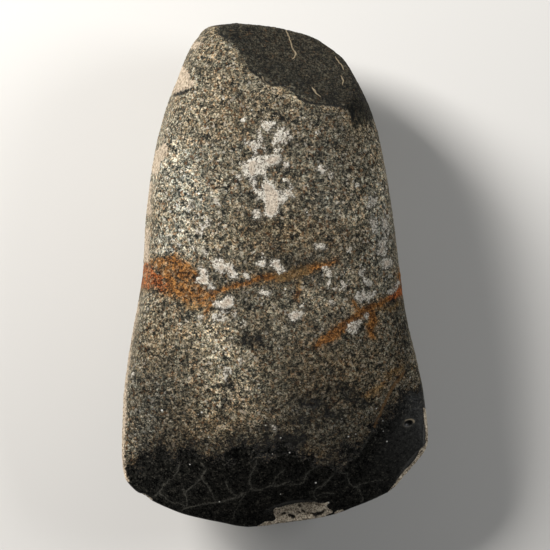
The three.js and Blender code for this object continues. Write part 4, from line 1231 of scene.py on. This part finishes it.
    # the old scar on the butt: darker, finer grained, with brown flecks
    ridge = n.mul(n.step(scar, -3.4, -0.9), n.step(scar, -0.5, 0.5, 1.0, 0.0))
    ridge = n.mul(ridge, n.step(n.noise(2.2, 4.0, 0.7, (8, 8, 2)), 0.40, 0.62))
    shade = n.mix(n.mul(ridge, 0.55), shade, n.mix(1.0, shade, (1.65, 1.58, 1.45), "MULTIPLY"))
    old = n.add(scar, n.add(n.mul(n.sub(dust, 0.5), 2.2), n.mul(n.sub(n.noise(2.6, 5.0, 0.7, (2, 9, 5)), 0.5), 7.5)))
    near_edge = n.mul(n.step(old, -0.6, 1.2), n.step(old, 1.5, 8.0, 1.0, 0.0))
    scar_grain = n.ramp(
        n.add(n.mul(small_a, 0.40), n.mul(n.noise(0.7, 4.0, 0.75, (3, 8, 8)), 0.60)),
        [
            (0.30, (0.002, 0.003, 0.003)),
            (0.45, (0.011, 0.012, 0.011)),
            (0.58, (0.036, 0.034, 0.027)),
            (0.76, (0.240, 0.195, 0.125)),
        ],
    )
    shade = n.mix(n.mul(n.step(old, -1.6, 1.4), 0.92), shade, n.mix(0.4, n.mix(1.0, shade, (0.19, 0.20, 0.195), "MULTIPLY"), scar_grain))
    shade = n.mix(n.mul(n.step(old, -1.2, 1.6), 0.9), shade, n.mix(1.0, shade, (0.68, 0.68, 0.66), "MULTIPLY"))
    shade = n.mix(n.mul(near_edge, 0.5), shade, n.mix(1.0, shade, (0.42, 0.47, 0.49), "MULTIPLY"))
    fleck = n.mul(n.step(n.noise(1.5, 3.0, 0.6, (4, 2, 2)), 0.62, 0.70), n.step(old, 0.5, 2.0))
    shade = n.mix(n.mul(fleck, 0.6), shade, (0.105, 0.060, 0.027))

    # rust: ragged at the edges, mottled from near black to bright orange
    width = n.field("rust_width")
    fray = n.add(n.mul(n.sub(n.noise(1.7, 5.0, 0.72, (1, 1, 4)), 0.5), 4.6), n.mul(n.sub(grain, 0.5), 1.6))
    fray = n.mul(fray, n.step(width, 0.2, 3.0, 0.28, 1.0))
    r = n.add(n.field("rust"), fray)
    faint = n.add(n.field("rust_faint"), n.add(n.mul(n.sub(n.noise(1.4, 5.0, 0.72, (6, 3, 4)), 0.5), 4.2), n.mul(n.sub(grain, 0.5), 1.5)))
    shade = n.mix(n.mul(n.step(faint, -1.0, 1.3), 0.78), shade, n.mix(0.30, n.mix(1.0, shade, (1.22, 0.84, 0.38), "MULTIPLY"), (0.23, 0.120, 0.034)))
    halo = n.mul(n.step(r, -1.6, 0.3), 0.5)
    shade = n.mix(halo, shade, n.mix(1.0, shade, (1.12, 0.72, 0.38), "MULTIPLY"))
    rust_colour = n.ramp(
        n.add(n.mul(n.noise(1.0, 5.0, 0.75, (4, 4, 4)), 0.66), n.mul(grain, 0.4)),
        [
            (0.32, (0.014, 0.007, 0.004)),
            (0.45, (0.085, 0.033, 0.009)),
            (0.56, (0.250, 0.098, 0.020)),
            (0.76, (0.600, 0.290, 0.085)),
        ],
    )
    red = n.step(n.add(n.field("rust_red"), n.mul(fray, 0.8)), -0.8, 0.6)
    rust_colour = n.mix(n.mul(red, 0.75), rust_colour, n.mix(1.0, rust_colour, (1.30, 0.70, 0.60), "MULTIPLY"))
    cover = n.step(n.noise(1.7, 5.0, 0.75, (5, 5, 8)), 0.42, 0.56, 0.12, 1.0)
    cover = n.math("MAXIMUM", cover, n.step(width, 2.2, 1.2))
    shade = n.mix(n.mul(n.mul(n.step(r, -0.35, 0.30), cover), 0.93), shade, rust_colour)
    thin = n.step(n.add(n.field("rust_thin"), n.mul(n.sub(n.noise(0.9, 4.0, 0.7, (6, 6, 6)), 0.5), 1.1)), -0.35, 0.1)
    shade = n.mix(n.mul(thin, 0.75), shade, (0.170, 0.088, 0.032))

    # crust: pinkish in the middle of a patch, whiter and crumbling at its rim
    crumble = n.add(n.mul(n.sub(n.noise(0.85, 4.0, 0.72, (8, 3, 3)), 0.5), 2.1), n.mul(n.sub(small_a, 0.5), 0.5))
    c = n.add(n.field("crust"), n.add(crumble, 0.12))
    veil = n.mul(n.step(c, -0.8, 0.25), 0.22)
    rim_colour = n.ramp(
        n.add(n.mul(n.noise(0.6, 4.0, 0.75, (6, 1, 8)), 0.75), n.mul(small_b, 0.3)),
        [
            (0.36, (0.05, 0.045, 0.036)),
            (0.44, (0.34, 0.300, 0.235)),
            (0.53, (0.80, 0.735, 0.625)),
            (0.70, (0.97, 0.925, 0.840)),
        ],
    )
    heart = n.ramp(
        n.noise(0.5, 4.0, 0.8, (1, 6, 8)),
        [(0.36, (0.13, 0.100, 0.072)), (0.46, (0.56, 0.450, 0.340)), (0.60, (0.92, 0.800, 0.660))],
    )
    crust_colour = n.mix(n.mul(n.step(n.field("crust"), 0.35, 0.9), 0.85), rim_colour, heart)
    shade = n.mix(veil, shade, (0.38, 0.335, 0.265))
    shade = n.mix(n.mul(n.step(c, -0.02, 0.12), 0.96), shade, crust_colour)

    # root traces and cracks
    broken_line = n.step(n.noise(1.8, 4.0, 0.7, (3, 9, 3)), 0.30, 0.55, 0.15, 1.0)
    off = n.math("ABSOLUTE", n.add(n.field("veins_signed"), n.mul(n.sub(n.noise(1.1, 4.0, 0.75, (5, 5, 2)), 0.5), 1.4)))
    vein = n.mul(n.mul(n.step(off, 0.0, 0.30, 1.0, 0.0), n.step(n.field("veins"), -0.7, 0.0)), n.mul(broken_line, n.step(dust, 0.36, 0.58, 0.3, 1.0)))
    haze = n.mul(n.step(n.field("veins"), -1.9, 0.2), n.step(n.noise(0.8, 4.0, 0.75, (9, 4, 9)), 0.42, 0.70))
    on_black = n.step(depth, -3.0, 4.0)
    shade = n.mix(n.mul(n.mul(vein, on_black), 0.68), shade, (0.115, 0.110, 0.094))
    shade = n.mix(n.mul(n.mul(haze, on_black), 0.38), shade, (0.036, 0.035, 0.030))
    off = n.math("ABSOLUTE", n.field("cracks_signed"))
    crack = n.mul(n.step(off, 0.02, 0.26, 1.0, 0.0), n.step(n.field("cracks"), -0.35, -0.05))
    shade = n.mix(n.mul(crack, 0.8), shade, (0.42, 0.34, 0.22))

    # fresh flakes: pale and warm, darker in their hollows and lighter on their rises with painted shade and light
    fresh = n.step(n.add(chip, n.mul(n.sub(dust, 0.5), 0.35)), -0.08, 0.10)
    fresh_colour = n.ramp(
        n.add(n.mul(n.noise(0.7, 5.0, 0.75, (1, 8, 2)), 0.7), n.add(n.mul(small_a, 0.2), n.mul(hollow, 1.6))),
        [
            (0.28, (0.050, 0.040, 0.030)),
            (0.38, (0.290, 0.235, 0.170)),
            (0.48, (0.660, 0.555, 0.420)),
            (0.64, (0.960, 0.860, 0.700)),
        ],
    )
    shade = n.mix(fresh, shade, fresh_colour)
    # pale rim scars and strips; the strips down the left side are partly worn stone, partly painted light where that
    # side catches the light
    worn_and_lit_pale = n.add(pale, n.add(n.mul(n.sub(n.noise(0.8, 4.0, 0.75, (2, 2, 9)), 0.5), 1.8), n.mul(n.sub(grain, 0.5), 0.7)))
    pink = n.mul(n.step(worn_and_lit_pale, -0.30, 0.15), 0.85)
    shade = n.mix(pink, shade, n.ramp(n.noise(0.8, 4.0, 0.75, (2, 5, 5)), [(0.38, (0.14, 0.105, 0.072)), (0.48, (0.48, 0.385, 0.280)), (0.63, (0.80, 0.660, 0.510))]))
    # painted shadow in the grooves and along the small steps
    dark = n.step(n.add(n.field("grooves"), n.mul(n.sub(n.noise(0.9, 4.0, 0.75, (1, 9, 6)), 0.5), 2.2)), -0.45, 0.35)
    shade = n.mix(n.mul(dark, 0.8), shade, (0.014, 0.015, 0.014))
    # the small pit: dark inside with painted shade, a paler chipped rim on its upper right
    pit = n.field("pit")
    shade = n.mix(n.mul(n.step(pit, 0.75, 1.15, 1.0, 0.0), 0.8), shade, (0.0025, 0.0025, 0.0025))
    ring = n.mul(n.step(pit, 1.05, 1.25), n.step(pit, 1.4, 1.75, 1.0, 0.0))
    ring = n.mul(ring, n.add(0.05, n.mul(n.step(n.field("pit_turn"), 0.3, 1.2), 0.72)))
    shade = n.mix(ring, shade, (0.30, 0.245, 0.170))

    # painted glints: small bright specks where feldspar would catch the light
    glint = n.cells(1.9, (4.4, 2.2, 0.7))
    spark = n.mul(n.step(glint[3], 0.05, 0.13, 1.0, 0.0), n.step(glint[0], 0.955, 0.965))
    shade = n.mix(n.mul(spark, 0.85), shade, (0.86, 0.84, 0.80))
    for x, y, z, size in SPOTS_ON_STONE:
        gap = n.new("ShaderNodeVectorMath", operation="DISTANCE")
        n.put(gap.inputs[0], n.mm)
        gap.inputs[1].default_value = (x, y, z)
        near = n.step(n.add(gap.outputs["Value"], n.mul(n.sub(dust, 0.5), 0.3)), 0.45 * size, 1.15 * size, 1.0, 0.0)
        shade = n.mix(n.mul(near, 0.9), shade, (0.84, 0.82, 0.77))

    # gloss and fine relief
    worn = n.mul(black, n.sub(1.0, n.math("MAXIMUM", fresh, n.step(c, 0.0, 0.4))))
    gloss = n.sub(n.add(0.74, n.mul(n.sub(grain, 0.5), 0.20)), n.mul(worn, 0.41))
    height = n.add(n.mul(n.noise(1.0, 4.0, 0.72, (7, 7, 3)), 1.5), n.mul(n.noise(0.45, 3.0, 0.7, (1, 2, 3)), 0.7))
    height = n.mul(height, n.sub(1.0, n.mul(worn, 0.95)))
    on_crust = n.step(c, -0.1, 0.3)
    height = n.add(height, n.mul(on_crust, n.add(0.35, n.mul(n.noise(0.5, 4.0, 0.75, (3, 5, 9)), 0.9))))
    bump = n.new("ShaderNodeBump")
    bump.inputs["Strength"].default_value = 1.0
    bump.inputs["Distance"].default_value = 0.0016
    n.put(bump.inputs["Height"], height)

    shader = n.new("ShaderNodeBsdfPrincipled")
    n.put(shader.inputs["Base Color"], shade)
    n.put(shader.inputs["Roughness"], gloss)
    n.put(shader.inputs["Normal"], bump.outputs[0])
    shader.inputs["Specular IOR Level"].default_value = 0.10
    out = n.new("ShaderNodeOutputMaterial")
    n.tree.links.new(shader.outputs[0], out.inputs["Surface"])
    return n.mat

piece.data.materials.append(stone_material())
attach(piece, "root")
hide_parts("axe_head")

# ==== floor, light and camera =============================================
floor_mesh = bpy.data.meshes.new("floor")
half = 6.0
floor_mesh.from_pydata([(-half, -half, 0), (half, -half, 0), (half, half, 0), (-half, half, 0)], [], [(0, 1, 2, 3)])
floor = bpy.data.objects.new("floor", floor_mesh)
bpy.context.scene.collection.objects.link(floor)
floor.location.z = -0.00005
floor_material = bpy.data.materials.new("floor")
floor_material.use_nodes = True
floor_shader = floor_material.node_tree.nodes["Principled BSDF"]
floor_shader.inputs["Base Color"].default_value = (0.56, 0.548, 0.53, 1)
floor_shader.inputs["Roughness"].default_value = 0.9
floor_shader.inputs["Specular IOR Level"].default_value = 0.1
floor_mesh.materials.append(floor_material)

world = bpy.data.worlds.new("studio")
bpy.context.scene.world = world
world.use_nodes = True
world.node_tree.nodes["Background"].inputs["Color"].default_value = (1.0, 0.99, 0.97, 1)
world.node_tree.nodes["Background"].inputs["Strength"].default_value = WORLD


def softbox(name, direction, distance, size, energy, colour=(1, 1, 1)):
    data = bpy.data.lights.new(name, "AREA")
    data.shape = "RECTANGLE"
    data.size, data.size_y = size
    data.energy = energy
    data.color = colour
    lamp = bpy.data.objects.new(name, data)
    bpy.context.scene.collection.objects.link(lamp)
    d = Vector(direction).normalized()
    lamp.location = d * distance + Vector((0, 0, 0.02))
    lamp.rotation_mode = "QUATERNION"
    lamp.rotation_quaternion = d.to_track_quat("Z", "Y")
    lamp.visible_camera = False
    return lamp


for args in SOFTBOXES:
    softbox(*args)

view = bpy.context.scene.view_settings
view.view_transform = "Standard"
view.look = "None"
view.exposure = 0.0
view.gamma = 1.0

camera_data = bpy.data.cameras.new("camera")
camera_data.sensor_width = 36.0
camera_data.lens = 36.0 * EYE / SPAN
camera_data.clip_start, camera_data.clip_end = 0.05, 20.0
camera = bpy.data.objects.new("camera", camera_data)
camera.location = (0, 0, (EYE + LIFT) / 1000)
bpy.context.scene.collection.objects.link(camera)
bpy.context.scene.camera = camera
